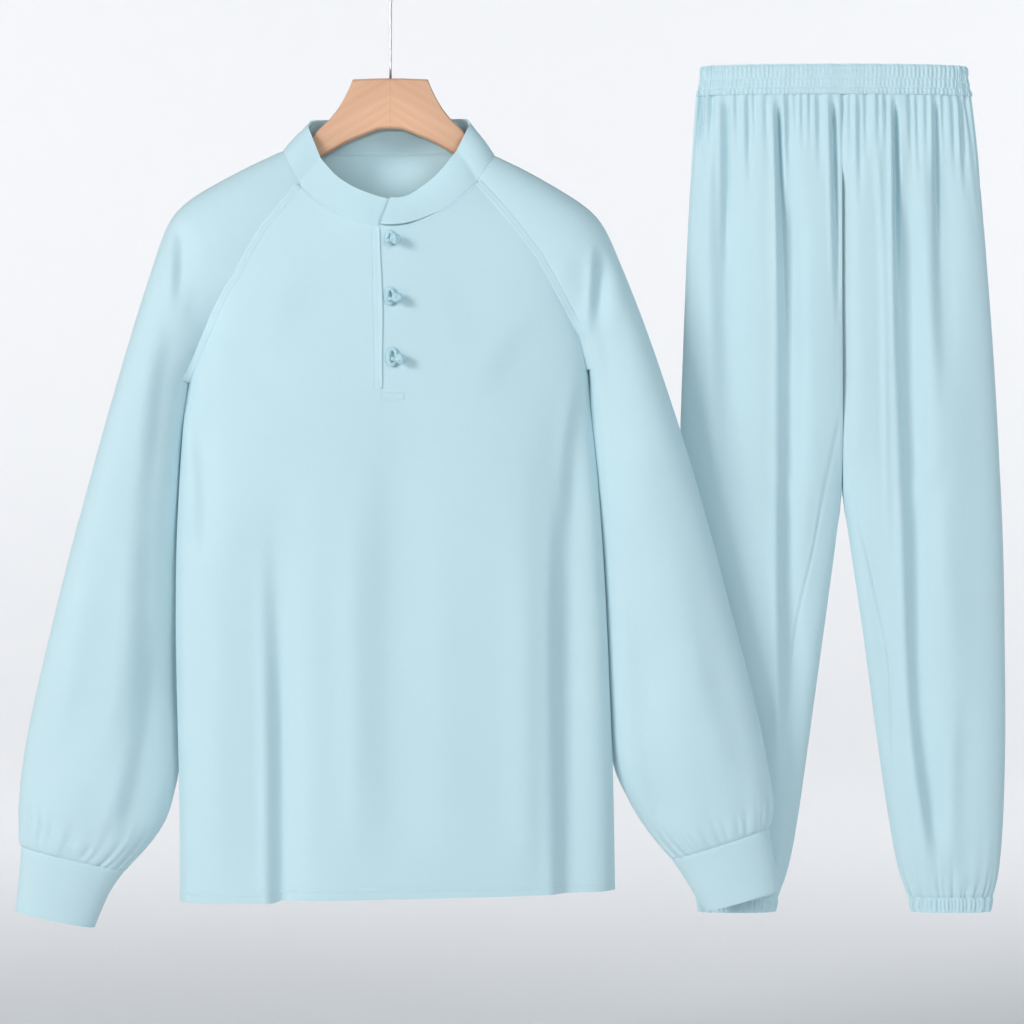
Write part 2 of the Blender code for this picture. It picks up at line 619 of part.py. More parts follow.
def hook(mat, collection):
    """Wire hook: a straight shank and a bend whose inside top is the origin."""
    radius = HOOK_BEND + HOOK_WIRE
    turns = np.radians(np.linspace(*HOOK_SWEEP, HOOK_STEPS))
    bend = [(radius * np.sin(a), radius * np.cos(a) - HOOK_BEND) for a in turns]
    path = [*HOOK_SHANK, *bend]
    curve = bpy.data.curves.new("hook", "CURVE")
    curve.dimensions = "3D"
    curve.bevel_depth = HOOK_WIRE * MM
    curve.bevel_resolution = 2
    curve.use_fill_caps = True
    spline = curve.splines.new("POLY")
    spline.points.add(len(path) - 1)
    for point, (x, z) in zip(spline.points, path):
        point.co = (x * MM, 0, z * MM, 1)
    bare = bpy.data.objects.new("hook_path", curve)
    collection.objects.link(bare)
    bpy.context.view_layer.update()
    data = bpy.data.meshes.new_from_object(bare.evaluated_get(bpy.context.evaluated_depsgraph_get()))
    bpy.data.objects.remove(bare, do_unlink=True)
    bm = bmesh.new()
    bm.from_mesh(data)
    bmesh.ops.remove_doubles(bm, verts=bm.verts[:], dist=1e-5)
    return mesh_object("hook", bm, mat, collection)


def front_y(grid, x, z):
    """Depth of the front panel's outer face at a place in the front view, from its nearest points."""
    flat = grid.reshape(-1, 3)
    near = np.argsort((flat[:, 0] - x) ** 2 + (flat[:, 2] - z) ** 2)[:3]
    return flat[near, 1].min()


def loop_y(front, ring):
    return front_y(front, ring[0], ring[1]) - LOOP_CORD - LOOP_LIFT


def button(name, place, ring, front, mat, collection):
    """Knot button resting on the right side of its loop."""
    x, z = place
    reach = BUTTON_RADIUS + LOOP_CORD + BUTTON_REST
    beside = x - (ring[0] + ring[2])
    y = loop_y(front, ring) - (reach**2 - beside**2) ** 0.5
    bm = bmesh.new()
    bmesh.ops.create_uvsphere(bm, u_segments=12, v_segments=8, radius=BUTTON_RADIUS * MM)
    return mesh_object(name, bm, mat, collection, (x, y, z))


def loop(name, place, front, mat, collection):
    """Cord loop lying on the front, long way up."""
    x, z, half_width, half_height = place
    y = loop_y(front, place)
    bm = bmesh.new()
    rings = []
    for a in np.linspace(0, 2 * np.pi, 16, endpoint=False):
        middle = np.array([half_width * np.cos(a), 0, half_height * np.sin(a)])
        out = np.array([half_height * np.cos(a), 0, half_width * np.sin(a)])
        out /= np.linalg.norm(out)
        rings.append([bm.verts.new((middle + LOOP_CORD * (out * np.cos(b) + np.array([0, np.sin(b), 0]))) * MM)
                      for b in np.linspace(0, 2 * np.pi, 6, endpoint=False)])
    for first, second in zip(rings, rings[1:] + rings[:1]):
        for k in range(6):
            bm.faces.new([first[k], first[(k + 1) % 6], second[(k + 1) % 6], second[k]])
    return mesh_object(name, bm, mat, collection, (x, y, z))


def build():
    clear_scene()
    collection = bpy.data.collections.new("tai_chi_uniform")
    bpy.context.scene.collection.children.link(collection)
    cloth = material("cloth", CLOTH_COLOUR, 0.75)
    wood = material("wood", WOOD_COLOUR, 0.5)
    steel = material("steel", STEEL_COLOUR, 0.3, 1.0)

    left = sleeve(RAGLAN_LEFT, SLEEVE_LEFT, BACK_NECK_LEFT)
    right = sleeve(RAGLAN_RIGHT, SLEEVE_RIGHT, BACK_NECK_RIGHT)
    upper = len(RAGLAN_LEFT)
    front = body_front(left[:upper, 0], right[:upper, 0])
    back = body_back(left[:upper, -1], right[:upper, -1])
    leg_left = leg(LEG_LEFT, -1)
    leg_right = leg(LEG_RIGHT, 1)
    cuff_left = np.array([left[-1]] + tube_rows(CUFF_LEFT))
    cuff_right = np.array([right[-1]] + tube_rows(CUFF_RIGHT))
    neck = collar(front[0], right[0], back[0], left[0])

    def panel(grid, ring=False, mirrored=False):
        return {"grid": grid[:, ::-1] if mirrored else grid, "ring": ring}

    panels = {
        "front": panel(front),
        "back": panel(back),
        "sleeve_left": panel(left, mirrored=True),
        "sleeve_right": panel(right),
        "cuff_left": panel(cuff_left, mirrored=True),
        "cuff_right": panel(cuff_right),
        "collar": panel(neck),
        "waistband": panel(waistband(leg_right[0], leg_left[0]), ring=True),
        "leg_left": panel(leg_left, mirrored=True),
        "leg_right": panel(leg_right),
        "ankle_left": panel(ankle(leg_left[-1]), mirrored=True),
        "ankle_right": panel(ankle(leg_right[-1])),
    }
    share_seams(panels)
    for name, made in panels.items():
        thickness = COLLAR_CLOTH if name == "collar" else CLOTH
        wall_object(name, made["grid"], made["normals"], thickness, made["ring"], cloth, collection)

    front_panel = panels["front"]
    strip = np.s_[:upper, LEFT_STEPS:LEFT_STEPS + 2]
    raised = front_panel["grid"][strip] + front_panel["normals"][strip] * (PLACKET_LIFT + PLACKET_CLOTH)
    raised[0] += (raised[1] - raised[0]) * PLACKET_TOP_SHARE
    wall_object("placket", raised, front_panel["normals"][strip], PLACKET_CLOTH, False, cloth, collection)

    for number, (place, ring) in enumerate(zip(BUTTONS, LOOPS), 1):
        button(f"button_{number}", place, ring, front, cloth, collection)
        loop(f"loop_{number}", ring, front, cloth, collection)
    hanger(wood, collection)
    hook(steel, collection)


build()
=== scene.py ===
import math

import bmesh
import bpy
import numpy as np
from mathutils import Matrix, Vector, kdtree
from mathutils.bvhtree import BVHTree


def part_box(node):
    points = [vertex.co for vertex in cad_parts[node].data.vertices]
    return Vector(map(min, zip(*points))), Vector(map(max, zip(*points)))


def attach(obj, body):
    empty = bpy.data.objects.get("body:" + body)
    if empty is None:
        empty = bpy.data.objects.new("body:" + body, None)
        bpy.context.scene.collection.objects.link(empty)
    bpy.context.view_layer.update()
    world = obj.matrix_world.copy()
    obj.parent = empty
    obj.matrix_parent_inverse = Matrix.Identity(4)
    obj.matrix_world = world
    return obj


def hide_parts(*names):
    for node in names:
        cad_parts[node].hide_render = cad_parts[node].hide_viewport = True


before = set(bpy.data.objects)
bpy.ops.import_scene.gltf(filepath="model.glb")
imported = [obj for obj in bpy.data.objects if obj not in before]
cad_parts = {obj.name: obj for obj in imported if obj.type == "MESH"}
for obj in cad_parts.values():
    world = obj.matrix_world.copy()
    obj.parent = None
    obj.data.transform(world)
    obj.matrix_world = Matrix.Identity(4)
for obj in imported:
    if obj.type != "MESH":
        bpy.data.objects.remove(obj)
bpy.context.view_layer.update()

# --- Cloth, shared by every sewn piece: smooth light blue woven cloth with a soft sheen.
# Each piece is its CAD wall refined, with its cut edges kept, then creased along and across by its own tables.
MM = 0.001
SHARP = 1.05
SEAM_CLOSE = 0.17
SEAM_DIP = 0.45
SEAM_DIP_WIDTH = 1.5


def smooth_line(at, known, values):
    """Values at each place of `at` on a smooth line through the known places."""
    at, known, values = (np.asarray(part, float) for part in (at, known, values))
    slope = np.gradient(values, known)
    low = np.clip(np.searchsorted(known, at) - 1, 0, len(known) - 2)
    span = known[low + 1] - known[low]
    s = np.clip((at - known[low]) / span, 0, 1)
    start = values[low] * (2 * s**3 - 3 * s**2 + 1) + slope[low] * span * (s**3 - 2 * s**2 + s)
    return start + values[low + 1] * (3 * s**2 - 2 * s**3) + slope[low + 1] * span * (s**3 - s**2)


def fine_wall(name, node, levels, rounded=False):
    """The CAD node's wall, merged, joined to quads and refined. Its cut edges stay sharp unless it is rounded,
    and reach over half of the gap to the next piece."""
    bm = bmesh.new()
    bm.from_mesh(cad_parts[node].data)
    bmesh.ops.remove_doubles(bm, verts=bm.verts[:], dist=2e-5)
    bmesh.ops.join_triangles(bm, faces=bm.faces[:], angle_face_threshold=3.1, angle_shape_threshold=3.1,
                             topology_influence=2.0)
    bmesh.ops.recalc_face_normals(bm, faces=bm.faces[:])
    keep = bm.edges.layers.float.new("crease_edge")
    ends = set()
    for edge in bm.edges:
        if len(edge.link_faces) == 2 and edge.calc_face_angle() > SHARP:
            edge[keep] = 0.35 if rounded else 1.0
            ends.update(edge.link_faces)
    thin = [face for face in ends if min(edge.calc_length() for edge in face.edges) < 2.6 * MM
            and sum(edge[keep] > 0 for edge in face.edges) >= 2]
    reach = {}
    for face in thin:
        for vert in face.verts:
            reach.setdefault(vert, Vector()).__iadd__(face.normal)
    for vert, way in reach.items():
        vert.co += way.normalized() * SEAM_CLOSE * MM
    data = bpy.data.meshes.new(name)
    bm.to_mesh(data)
    bm.free()
    made = bpy.data.objects.new(name, data)
    bpy.context.scene.collection.objects.link(made)
    refine = made.modifiers.new("refine", "SUBSURF")
    refine.levels = refine.render_levels = levels
    bpy.context.view_layer.update()
    done = bpy.data.meshes.new_from_object(made.evaluated_get(bpy.context.evaluated_depsgraph_get()))
    made.modifiers.clear()
    made.data = done
    done.polygons.foreach_set("use_smooth", [True] * len(done.polygons))
    cut = np.empty(len(done.edges))
    done.attributes["crease_edge"].data.foreach_get("value", cut)
    done.edges.foreach_set("use_edge_sharp", cut > 0.5)
    done.attributes.remove(done.attributes["crease_edge"])
    if "custom_normal" in done.attributes:
        done.attributes.remove(done.attributes["custom_normal"])
    return made


def points_of(piece):
    flat = np.empty(len(piece.data.vertices) * 3)
    piece.data.vertices.foreach_get("co", flat)
    return flat.reshape(-1, 3) / MM


def set_points(piece, points):
    piece.data.vertices.foreach_set("co", (points * MM).ravel())
    piece.data.update()


def cut_edge_distance(piece):
    """How far each point is from the piece's nearest cut edge, up to 8 mm."""
    data = piece.data
    flags = np.empty(len(data.edges), bool)
    data.edges.foreach_get("use_edge_sharp", flags)
    ends = np.empty(len(data.edges) * 2, int)
    data.edges.foreach_get("vertices", ends)
    edge_points = np.unique(ends.reshape(-1, 2)[flags])
    points = points_of(piece)
    tree = kdtree.KDTree(len(edge_points))
    for index, vertex in enumerate(edge_points):
        tree.insert(points[vertex], index)
    tree.balance()
    return np.array([min(tree.find(point)[2], 8.0) for point in points])


def along_axis(points, axis):
    """Where each point lies on a tube given by rows of x, z, half width, half depth, middle y.
    Returns distance down the axis, turn round it (0 outer side or +X, pi/2 behind) and the outward direction."""
    axis = np.array(axis, float)
    step = np.linalg.norm(np.diff(axis[:, :2], axis=0), axis=1)
    down = np.concatenate([[0], np.cumsum(step)])
    fine = np.linspace(0, down[-1], 240)
    line = np.column_stack([smooth_line(fine, down, column) for column in axis.T])
    heading = np.gradient(line[:, :2], axis=0)
    heading /= np.linalg.norm(heading, axis=1, keepdims=True)
    place = points[:, [0, 2]]
    best = np.empty(len(points), int)
    for first in range(0, len(points), 20000):
        part = place[first:first + 20000]
        best[first:first + 20000] = np.argmin(((part[:, None] - line[None, :, :2]) ** 2).sum(2), axis=1)
    near = line[best]
    side = np.column_stack([-heading[best, 1], heading[best, 0]])
    across = ((place - near[:, :2]) * side).sum(1)
    depth = points[:, 1] - near[:, 4]
    turn = np.arctan2(depth / near[:, 3], across / near[:, 2])
    out = np.column_stack([side[:, 0] * across / near[:, 2] ** 2, depth / near[:, 3] ** 2,
                           side[:, 1] * across / near[:, 2] ** 2])
    out /= np.maximum(np.linalg.norm(out, axis=1, keepdims=True), 1e-9)
    return fine[best], turn, out


CREASE_EASE = 2.4
CREASE_STEEP = 1.35
NARROW = 4.5
CREASE_GAIN = 1.45


def ramp(value):
    value = np.clip(value, 0, 1)
    return value * value * (3 - 2 * value)


def crease_depth(points, table):
    """Soft troughs (depth over 0), steep on the left and easing out to the right, and ridges (under 0).
    They run along lines in the front view. Rows: half width, depth, shares of the length over which it fades in and out, then x, z from the top down."""
    total = np.zeros(len(points))
    for half, depth, fade_in, fade_out, *line in table:
        x, z = np.array(line, float).T
        s = (z[0] - points[:, 2]) / (z[0] - z[-1])
        lean = math.hypot(x[-1] - x[0], z[-1] - z[0]) / (z[0] - z[-1])
        d = (points[:, 0] - smooth_line(points[:, 2], z[::-1], x[::-1])) / lean
        fade = (ramp(s / fade_in) if fade_in else (s > -0.2)) * (ramp((1 - s) / fade_out) if fade_out else (s < 1.2))
        eased = np.where(d > 0, CREASE_EASE, CREASE_STEEP) * half
        wide = eased if depth > 0 and half > NARROW else half
        lip = np.exp(-((d + 1.9 * half) / half) ** 2)
        total += CREASE_GAIN * depth * fade * (np.exp(-(d / wide) ** 2) - 0.3 * lip)
    return total


def creased(points, out, table, side_y):
    """side_y is -1 for creases in front and 1 for those behind."""
    facing = np.clip(out[:, 1] * side_y * 2.2, 0, 1)
    return points - out * (crease_depth(points, table) * facing)[:, None]


def girth(turn, half_width, half_depth):
    """Distance round an oval from turn -pi to each turn, and the whole way round."""
    fine = np.linspace(-math.pi, math.pi, 721)
    step = np.hypot(half_width * np.sin(fine[:-1]), half_depth * np.cos(fine[:-1])) * (fine[1] - fine[0])
    arc = np.concatenate([[0], np.cumsum(step)])
    return np.interp(turn, fine, arc), arc[-1]


def gathers(down, turn, seam_at, reach, oval, pitch, depth, seed):
    """Uneven gathers running into a seam, deepest there and each gone at its own distance up to `reach`."""
    rng = np.random.default_rng(seed)
    arc, whole = girth(turn, *oval)
    count = round(whole / pitch)
    height = np.zeros(len(down))
    for number in range(count):
        middle = whole * (number + rng.uniform(-0.3, 0.3)) / count
        width = rng.uniform(0.20, 0.32) * pitch
        length = reach * rng.uniform(0.3, 1.0) ** 1.4
        away = (arc - middle + whole / 2) % whole - whole / 2
        away = away * (1 - 0.25 * np.clip(np.abs(down - seam_at) / length, 0, 1))
        own = np.clip(1 - np.abs(down - seam_at) / length, 0, 1) ** 1.3
        furrow = np.exp(-(away / width) ** 2) - 0.5 * np.exp(-(away / (2 * width)) ** 2)
        height += rng.uniform(0.5, 1.0) * own * furrow
    return depth * height


def seam_relief(piece, points, out):
    """The cloth turns in a little at its cut edges, and the turned-in edge under it shows as a low band."""
    distance = cut_edge_distance(piece)
    dip = SEAM_DIP * np.exp(-(distance / SEAM_DIP_WIDTH) ** 2)
    band = 0.22 * np.exp(-((distance - 3.8) / 1.6) ** 2)
    return points - out * (dip - band)[:, None]


def node_group(name, inputs, outputs):
    group = bpy.data.node_groups.new(name, "ShaderNodeTree")
    for label, kind, value in inputs:
        socket = group.interface.new_socket(label, in_out="INPUT", socket_type=kind)
        if value is not None:
            socket.default_value = value
    for label, kind in outputs:
        group.interface.new_socket(label, in_out="OUTPUT", socket_type=kind)
    return group, group.nodes.new("NodeGroupInput"), group.nodes.new("NodeGroupOutput")


def math_node(tree, operation, first, second=None, third=None):
    node = tree.nodes.new("ShaderNodeMath")
    node.operation = operation
    for index, value in enumerate((first, second, third)):
        if value is None:
            continue
        if isinstance(value, (int, float)):
            node.inputs[index].default_value = value
        else:
            tree.links.new(value, node.inputs[index])
    return node.outputs[0]


def noise_node(tree, vector, scale, detail):
    node = tree.nodes.new("ShaderNodeTexNoise")
    node.inputs["Scale"].default_value = scale
    node.inputs["Detail"].default_value = detail
    tree.links.new(vector, node.inputs["Vector"])
    return node.outputs["Fac"]


def stretched(tree, vector, scale):
    node = tree.nodes.new("ShaderNodeMapping")
    node.inputs["Scale"].default_value = scale
    tree.links.new(vector, node.inputs["Vector"])
    return node.outputs["Vector"]


# Plain weave: threads along X and Z in the cloth's own place, uneven as spun yarn is.
weave, weave_in, weave_out = node_group(
    "plain_weave", [("Pitch", "NodeSocketFloat", 0.0006), ("Unevenness", "NodeSocketFloat", 0.5)],
    [("Height", "NodeSocketFloat"), ("Slub", "NodeSocketFloat")])
coords = weave.nodes.new("ShaderNodeTexCoord")
split = weave.nodes.new("ShaderNodeSeparateXYZ")
weave.links.new(coords.outputs["Object"], split.inputs[0])
rate = math_node(weave, "DIVIDE", 2 * math.pi, weave_in.outputs["Pitch"])
warp = math_node(weave, "SINE", math_node(weave, "MULTIPLY", split.outputs["X"], rate))
weft = math_node(weave, "SINE", math_node(weave, "MULTIPLY", split.outputs["Z"], rate))
along_warp = noise_node(weave, stretched(weave, coords.outputs["Object"], (1.0, 1.0, 0.12)), 900.0, 2.0)
along_weft = noise_node(weave, stretched(weave, coords.outputs["Object"], (0.12, 1.0, 1.0)), 900.0, 2.0)
slub = math_node(weave, "MULTIPLY", math_node(weave, "ADD", along_warp, along_weft), 0.5)
uneven = math_node(weave, "MULTIPLY", slub, weave_in.outputs["Unevenness"])
weave.links.new(math_node(weave, "ADD", math_node(weave, "MULTIPLY", warp, weft), uneven), weave_out.inputs["Height"])
weave.links.new(slub, weave_out.inputs["Slub"])


def cloth_material(name, colour, pitch=0.0006, bump_strength=0.25):
    made = bpy.data.materials.new(name)
    made.use_nodes = True
    tree = made.node_tree
    shader = tree.nodes["Principled BSDF"]
    threads = tree.nodes.new("ShaderNodeGroup")
    threads.node_tree = weave
    threads.inputs["Pitch"].default_value = pitch
    place = tree.nodes.new("ShaderNodeTexCoord")
    soft = noise_node(tree, place.outputs["Object"], 9.0, 2.0)
    tone = tree.nodes.new("ShaderNodeMix")
    tone.data_type = "RGBA"
    tone.inputs["A"].default_value = (*[c * 0.955 for c in colour], 1.0)
    tone.inputs["B"].default_value = (*[min(c * 1.035, 1.0) for c in colour], 1.0)
    mixed = math_node(tree, "ADD", math_node(tree, "MULTIPLY", soft, 0.5),
                      math_node(tree, "MULTIPLY", threads.outputs["Slub"], 0.5))
    tree.links.new(mixed, tone.inputs["Factor"])
    tree.links.new(tone.outputs["Result"], shader.inputs["Base Color"])
    shader.inputs["Roughness"].default_value = 0.58
    shader.inputs["Specular IOR Level"].default_value = 0.3
    shader.inputs["Sheen Weight"].default_value = 0.25
    shader.inputs["Sheen Roughness"].default_value = 0.4
    shader.inputs["Sheen Tint"].default_value = (0.92, 0.98, 1.0, 1.0)
    bump = tree.nodes.new("ShaderNodeBump")
    bump.inputs["Strength"].default_value = bump_strength
    bump.inputs["Distance"].default_value = 0.0002
    tree.links.new(threads.outputs["Height"], bump.inputs["Height"])
    tree.links.new(bump.outputs["Normal"], shader.inputs["Normal"])
    return made


CLOTH_COLOUR = (0.590, 0.776, 0.825)
cloth = cloth_material("cloth_light_blue", CLOTH_COLOUR)


def sewn(piece, node):
    piece.data.materials.clear()
    piece.data.materials.append(cloth)
    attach(piece, "root")
    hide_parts(node)


# --- Front and back of the pullover: each cut in one piece, joined at the side seams and to the raglan sleeves.
# Soft cloth that hangs straight, with a few long folds from the chest to the hem.
BODY_AXIS = ((0, -150, 220, 46, 0), (0, -480, 225, 46, 0), (2, -700, 236, 46, 0), (6, -900, 239, 46, 0),
             (7, -1150, 240, 46, 0))
FRONT_CREASES = (
    (8, 7.5, 0.6, 0.0, (-126, -600), (-119, -820), (-117, -1046)),
    (20, -1.4, 0.5, 0.2, (-190, -560), (-188, -1040)),
    (20, 3.0, 0.4, 0.2, (14, -500), (8, -760), (12, -1030)),
    (14, -1.2, 0.4, 0.3, (-40, -560), (-36, -1020)),
    (10, 5.6, 0.45, 0.0, (196, -520), (193, -760), (196, -1040)),
    (16, -1.4, 0.4, 0.2, (152, -600), (150, -1030)),
    (18, 1.0, 0.4, 0.3, (86, -600), (92, -1020)),
    (7, 3.0, 0.35, 0.4, (-222, -470), (-205, -560), (-203, -700)),
    (8, 3.0, 0.30, 0.4, (219, -455), (206, -540), (202, -680)),
    (15, 1.6, 0.4, 0.5, (-178, -405), (-150, -450), (-110, -520)),
    (15, 1.6, 0.4, 0.5, (180, -395), (150, -440), (118, -520)),
    (16, 0.9, 0.4, 0.5, (-60, -330), (-110, -470)),
    (16, 1.2, 0.4, 0.5, (70, -330), (110, -460)),
)
BACK_CREASES = (
    (18, 3.4, 0.4, 0.0, (-120, -420), (-128, -700), (-140, -1046)),
    (24, 2.2, 0.4, 0.2, (-20, -350), (-30, -980)),
    (18, 3.2, 0.4, 0.0, (90, -400), (98, -700), (110, -1040)),
    (14, 2.6, 0.4, 0.1, (170, -520), (180, -1040)),
    (14, 2.2, 0.4, 0.1, (-190, -520), (-190, -1040)),
    (12, -1.4, 0.4, 0.2, (30, -480), (34, -1020)),
    (10, 2.0, 0.3, 0.5, (-150, -330), (-170, -520)),
    (10, 2.0, 0.3, 0.5, (150, -330), (168, -520)),
)
for node, table, facing, flat in (("front", FRONT_CREASES, -1, (0.56, 0.80)), ("back", BACK_CREASES, 1, (0.56, 0.85))):
    piece = fine_wall(f"{node}_panel", node, 3)
    points = points_of(piece)
    _, _, out = along_axis(points, BODY_AXIS)
    points = seam_relief(piece, creased(points, out, table, facing), out)
    if node == "front":
        points[:, 2] -= 2.2 * ramp((-1002 - points[:, 2]) / 34) * (1 - ramp((points[:, 0] + 125) / 9))
    set_points(piece, points)
    sewn(piece, node)

# --- Raglan sleeves: wide, wrapped from the front seam over the shoulder to the back seam, gathered into the cuffs.
SLEEVE_LEFT_AXIS = (
    (-108, -243, 25, 28, 0), (-137, -265, 32, 34, 0), (-165, -287, 40, 38, 0), (-186, -307, 48, 40, 0),
    (-202, -329, 50, 40, 0), (-213, -347, 48, 39, 0), (-223, -370, 44, 36, 0), (-242, -418, 40, 34, 0),
    (-260, -470, 38, 31, 0), (-275, -545, 44, 31, 5), (-289, -622, 53, 31, 9), (-301, -702, 62, 30, 11),
    (-310, -775, 72, 30, 12), (-317, -843, 80, 30, 12), (-321, -895, 85, 30, 12), (-326, -945, 86, 28, 12),
    (-336, -978, 76, 26, 11), (-350, -1002, 60, 21, 10), (-360, -1030, 52, 20, 10), (-372, -1075, 45, 18, 10))
SLEEVE_RIGHT_AXIS = (
    (105, -244, 25, 28, 0), (129, -261, 32, 34, 0), (151, -278, 40, 38, 0), (170, -293, 46, 40, 0),
    (192, -315, 48, 40, 0), (207, -337, 46, 39, 0), (224, -373, 42, 36, 0), (241, -410, 38, 34, 0),
    (255, -454, 37, 31, 0), (269, -519, 44, 31, 5), (284, -591, 53, 31, 9), (296, -664, 62, 30, 11),
    (307, -738, 71, 30, 12), (318, -806, 80, 30, 12), (327, -871, 84, 30, 12), (339, -917, 84, 28, 12),
    (352, -955, 75, 26, 11), (364, -986, 58, 21, 10), (374, -1012, 52, 20, 10), (389, -1052, 44, 18, 10))
SLEEVE_LEFT_CREASES = (
    (6, 4.5, 0.3, 0.5, (-229, -300), (-226, -350), (-228, -410)),
    (10, 2.0, 0.4, 0.5, (-200, -330), (-213, -440)),
    (10, 3.4, 0.3, 0.5, (-232, -400), (-246, -500), (-262, -660)),
    (13, 3.6, 0.35, 0.3, (-254, -560), (-262, -740), (-286, -930)),
    (18, 2.0, 0.4, 0.3, (-296, -560), (-330, -760), (-352, -930)),
    (11, 3.8, 0.4, 0.15, (-252, -700), (-262, -860), (-290, -985)),
    (16, -1.4, 0.4, 0.3, (-320, -640), (-365, -900)),
    (14, 1.6, 0.4, 0.3, (-352, -780), (-388, -960)),
)
SLEEVE_RIGHT_CREASES = (
    (5, 5.5, 0.3, 0.5, (232, -325), (229, -365), (223, -445)),
    (10, 1.8, 0.4, 0.5, (206, -330), (214, -430)),
    (10, 3.6, 0.2, 0.5, (230, -390), (240, -470), (258, -640)),
    (14, 3.2, 0.35, 0.3, (252, -560), (268, -720), (302, -900)),
    (18, 2.0, 0.4, 0.3, (296, -540), (332, -720), (372, -900)),
    (12, 3.6, 0.4, 0.15, (262, -720), (276, -860), (306, -975)),
    (16, -1.4, 0.4, 0.3, (300, -600), (350, -850)),
    (14, 1.6, 0.4, 0.3, (345, -740), (402, -935)),
)
CUFF_OVAL = (60, 23)
# How far the sleeve's inner side lies in behind the body's widest line.
SLEEVE_IN = 4.6
SLEEVE_BACK = 3.0
for side, axis, table, seam_at, seed in (("left", SLEEVE_LEFT_AXIS, SLEEVE_LEFT_CREASES, 806, 3),
                                         ("right", SLEEVE_RIGHT_AXIS, SLEEVE_RIGHT_CREASES, 797, 5)):
    piece = fine_wall(f"sleeve_{side}_cloth", f"sleeve_{side}", 3)
    points = points_of(piece)
    down, turn, out = along_axis(points, axis)
    points = points - out * gathers(down, turn, seam_at, 62, CUFF_OVAL, 9.5, 3.2, seed)[:, None]
    points = creased(points, out, table, -1)
    toward_body = 1 if side == "left" else -1
    inner = ramp((np.cos(turn) * toward_body - 0.55) / 0.45)
    inner *= ramp((-450 - points[:, 2]) / 70) * ramp((points[:, 2] + 940) / 50)
    points = points + inner[:, None] * (SLEEVE_IN * toward_body, SLEEVE_BACK, 0.0)
    set_points(piece, seam_relief(piece, points, out))
    sewn(piece, f"sleeve_{side}")
    cuff = fine_wall(f"cuff_{side}_cloth", f"cuff_{side}", 3)
    points = points_of(cuff)
    down, turn, out = along_axis(points, axis)
    points = points - out * gathers(down, turn, seam_at, 14, CUFF_OVAL, 9.5, 0.9, seed + 20)[:, None]
    set_points(cuff, seam_relief(cuff, points, out))
    sewn(cuff, f"cuff_{side}")

# --- Collar: a stand of two layers of the same cloth, its lapping end over the other at the front.
COLLAR_END_OUT = 2.9
COLLAR_UNDER_IN = 2.8
COLLAR_END_REACH = math.radians(24)
COLLAR_BACK_LIFT = 6.0


def unwound_turn(piece, middle, half_width, half_depth):
    """Turn of each point round the neck, counted along the cloth, so that the lapping ends stay apart."""
    points = points_of(piece)
    raw = np.arctan2((points[:, 1] - middle[1]) / half_depth, (points[:, 0] - middle[0]) / half_width)
    beside = [[] for _ in points]
    for edge in piece.data.edges:
        first, second = edge.vertices
        beside[first].append(second)
        beside[second].append(first)
    turn = np.full(len(points), np.nan)
    start = int(np.argmin(np.abs(raw)))
    turn[start] = raw[start]
    waiting = [start]
    while waiting:
        here = waiting.pop()
        for other in beside[here]:
            if np.isnan(turn[other]):
                turn[other] = turn[here] + (raw[other] - raw[here] + math.pi) % (2 * math.pi) - math.pi
                waiting.append(other)
    return turn


collar = fine_wall("collar_stand", "collar", 3)
points = points_of(collar)
around = unwound_turn(collar, (-1, 0), 110, 50)
from_over_end = np.clip((around - around.min()) / COLLAR_END_REACH, 0, 1)
from_under_end = np.clip((around.max() - around) / (1.6 * COLLAR_END_REACH), 0, 1)
shift = COLLAR_UNDER_IN * (1 - ramp(from_under_end)) - COLLAR_END_OUT * (1 - ramp(from_over_end))
shift *= ramp((points[:, 2] + 318) / 14)
points[:, 1] += shift
beside_hanger = np.exp(-((np.abs(points[:, 0] + 1) - 86) / 24) ** 2) * ramp((points[:, 1] - 2) / 10)
points[:, 2] += COLLAR_BACK_LIFT * beside_hanger * ramp((points[:, 2] + 226) / 34)
set_points(collar, points)
sewn(collar, "collar")

# --- Placket: the folded strip down the chest slit, its left edge let into the front, its right edge a soft fold.
placket = fine_wall("placket_strip", "placket", 3, rounded=True)
points = points_of(placket)
edge_at = np.interp(points[:, 2], (-530, -310), (-6, -9))
share = np.clip((edge_at - points[:, 0]) / 11.5, 0, 1)
ends = 1 - ramp((points[:, 2] + 490.5) / 6) * ramp((-306 - points[:, 2]) / 6)
points[:, 1] += 2.3 * np.maximum(share ** 0.8, ends)
points[:, 0] += 0.7 * np.sin(points[:, 2] / 23.0) * (1 - share)
set_points(placket, points)
sewn(placket, "placket")

# --- Trousers: two wrapped legs with an elastic waistband stitched in three rows and elastic ankle casings.
LEG_LEFT_AXIS = ((420, -100, 90, 27, 55), (419, -250, 90, 27, 55), (415, -430, 90, 28, 55), (412, -560, 92, 28, 55),
                 (409, -640, 90, 27, 55), (401, -764, 82, 26, 55), (396, -853, 74, 25, 55), (392, -943, 65, 24, 55),
                 (389, -1010, 57, 22, 55), (387, -1038, 49, 19, 55), (385, -1075, 45, 16, 55))
LEG_RIGHT_AXIS = ((572, -100, 90, 27, 55), (578, -250, 90, 27, 55), (586, -430, 90, 28, 55), (592, -560, 92, 28, 55),
                  (597, -640, 90, 27, 55), (607, -764, 80, 26, 55), (613, -853, 74, 25, 55), (618, -943, 67, 24, 55),
                  (622, -1010, 59, 22, 55), (623, -1038, 52, 19, 55), (624, -1075, 46, 16, 55))
HIP_AXIS = ((500.8, -90, 152, 26, 55), (500.8, -300, 160, 28, 55), (500.8, -650, 176, 29, 55))
WAIST_SEAM = -156.0
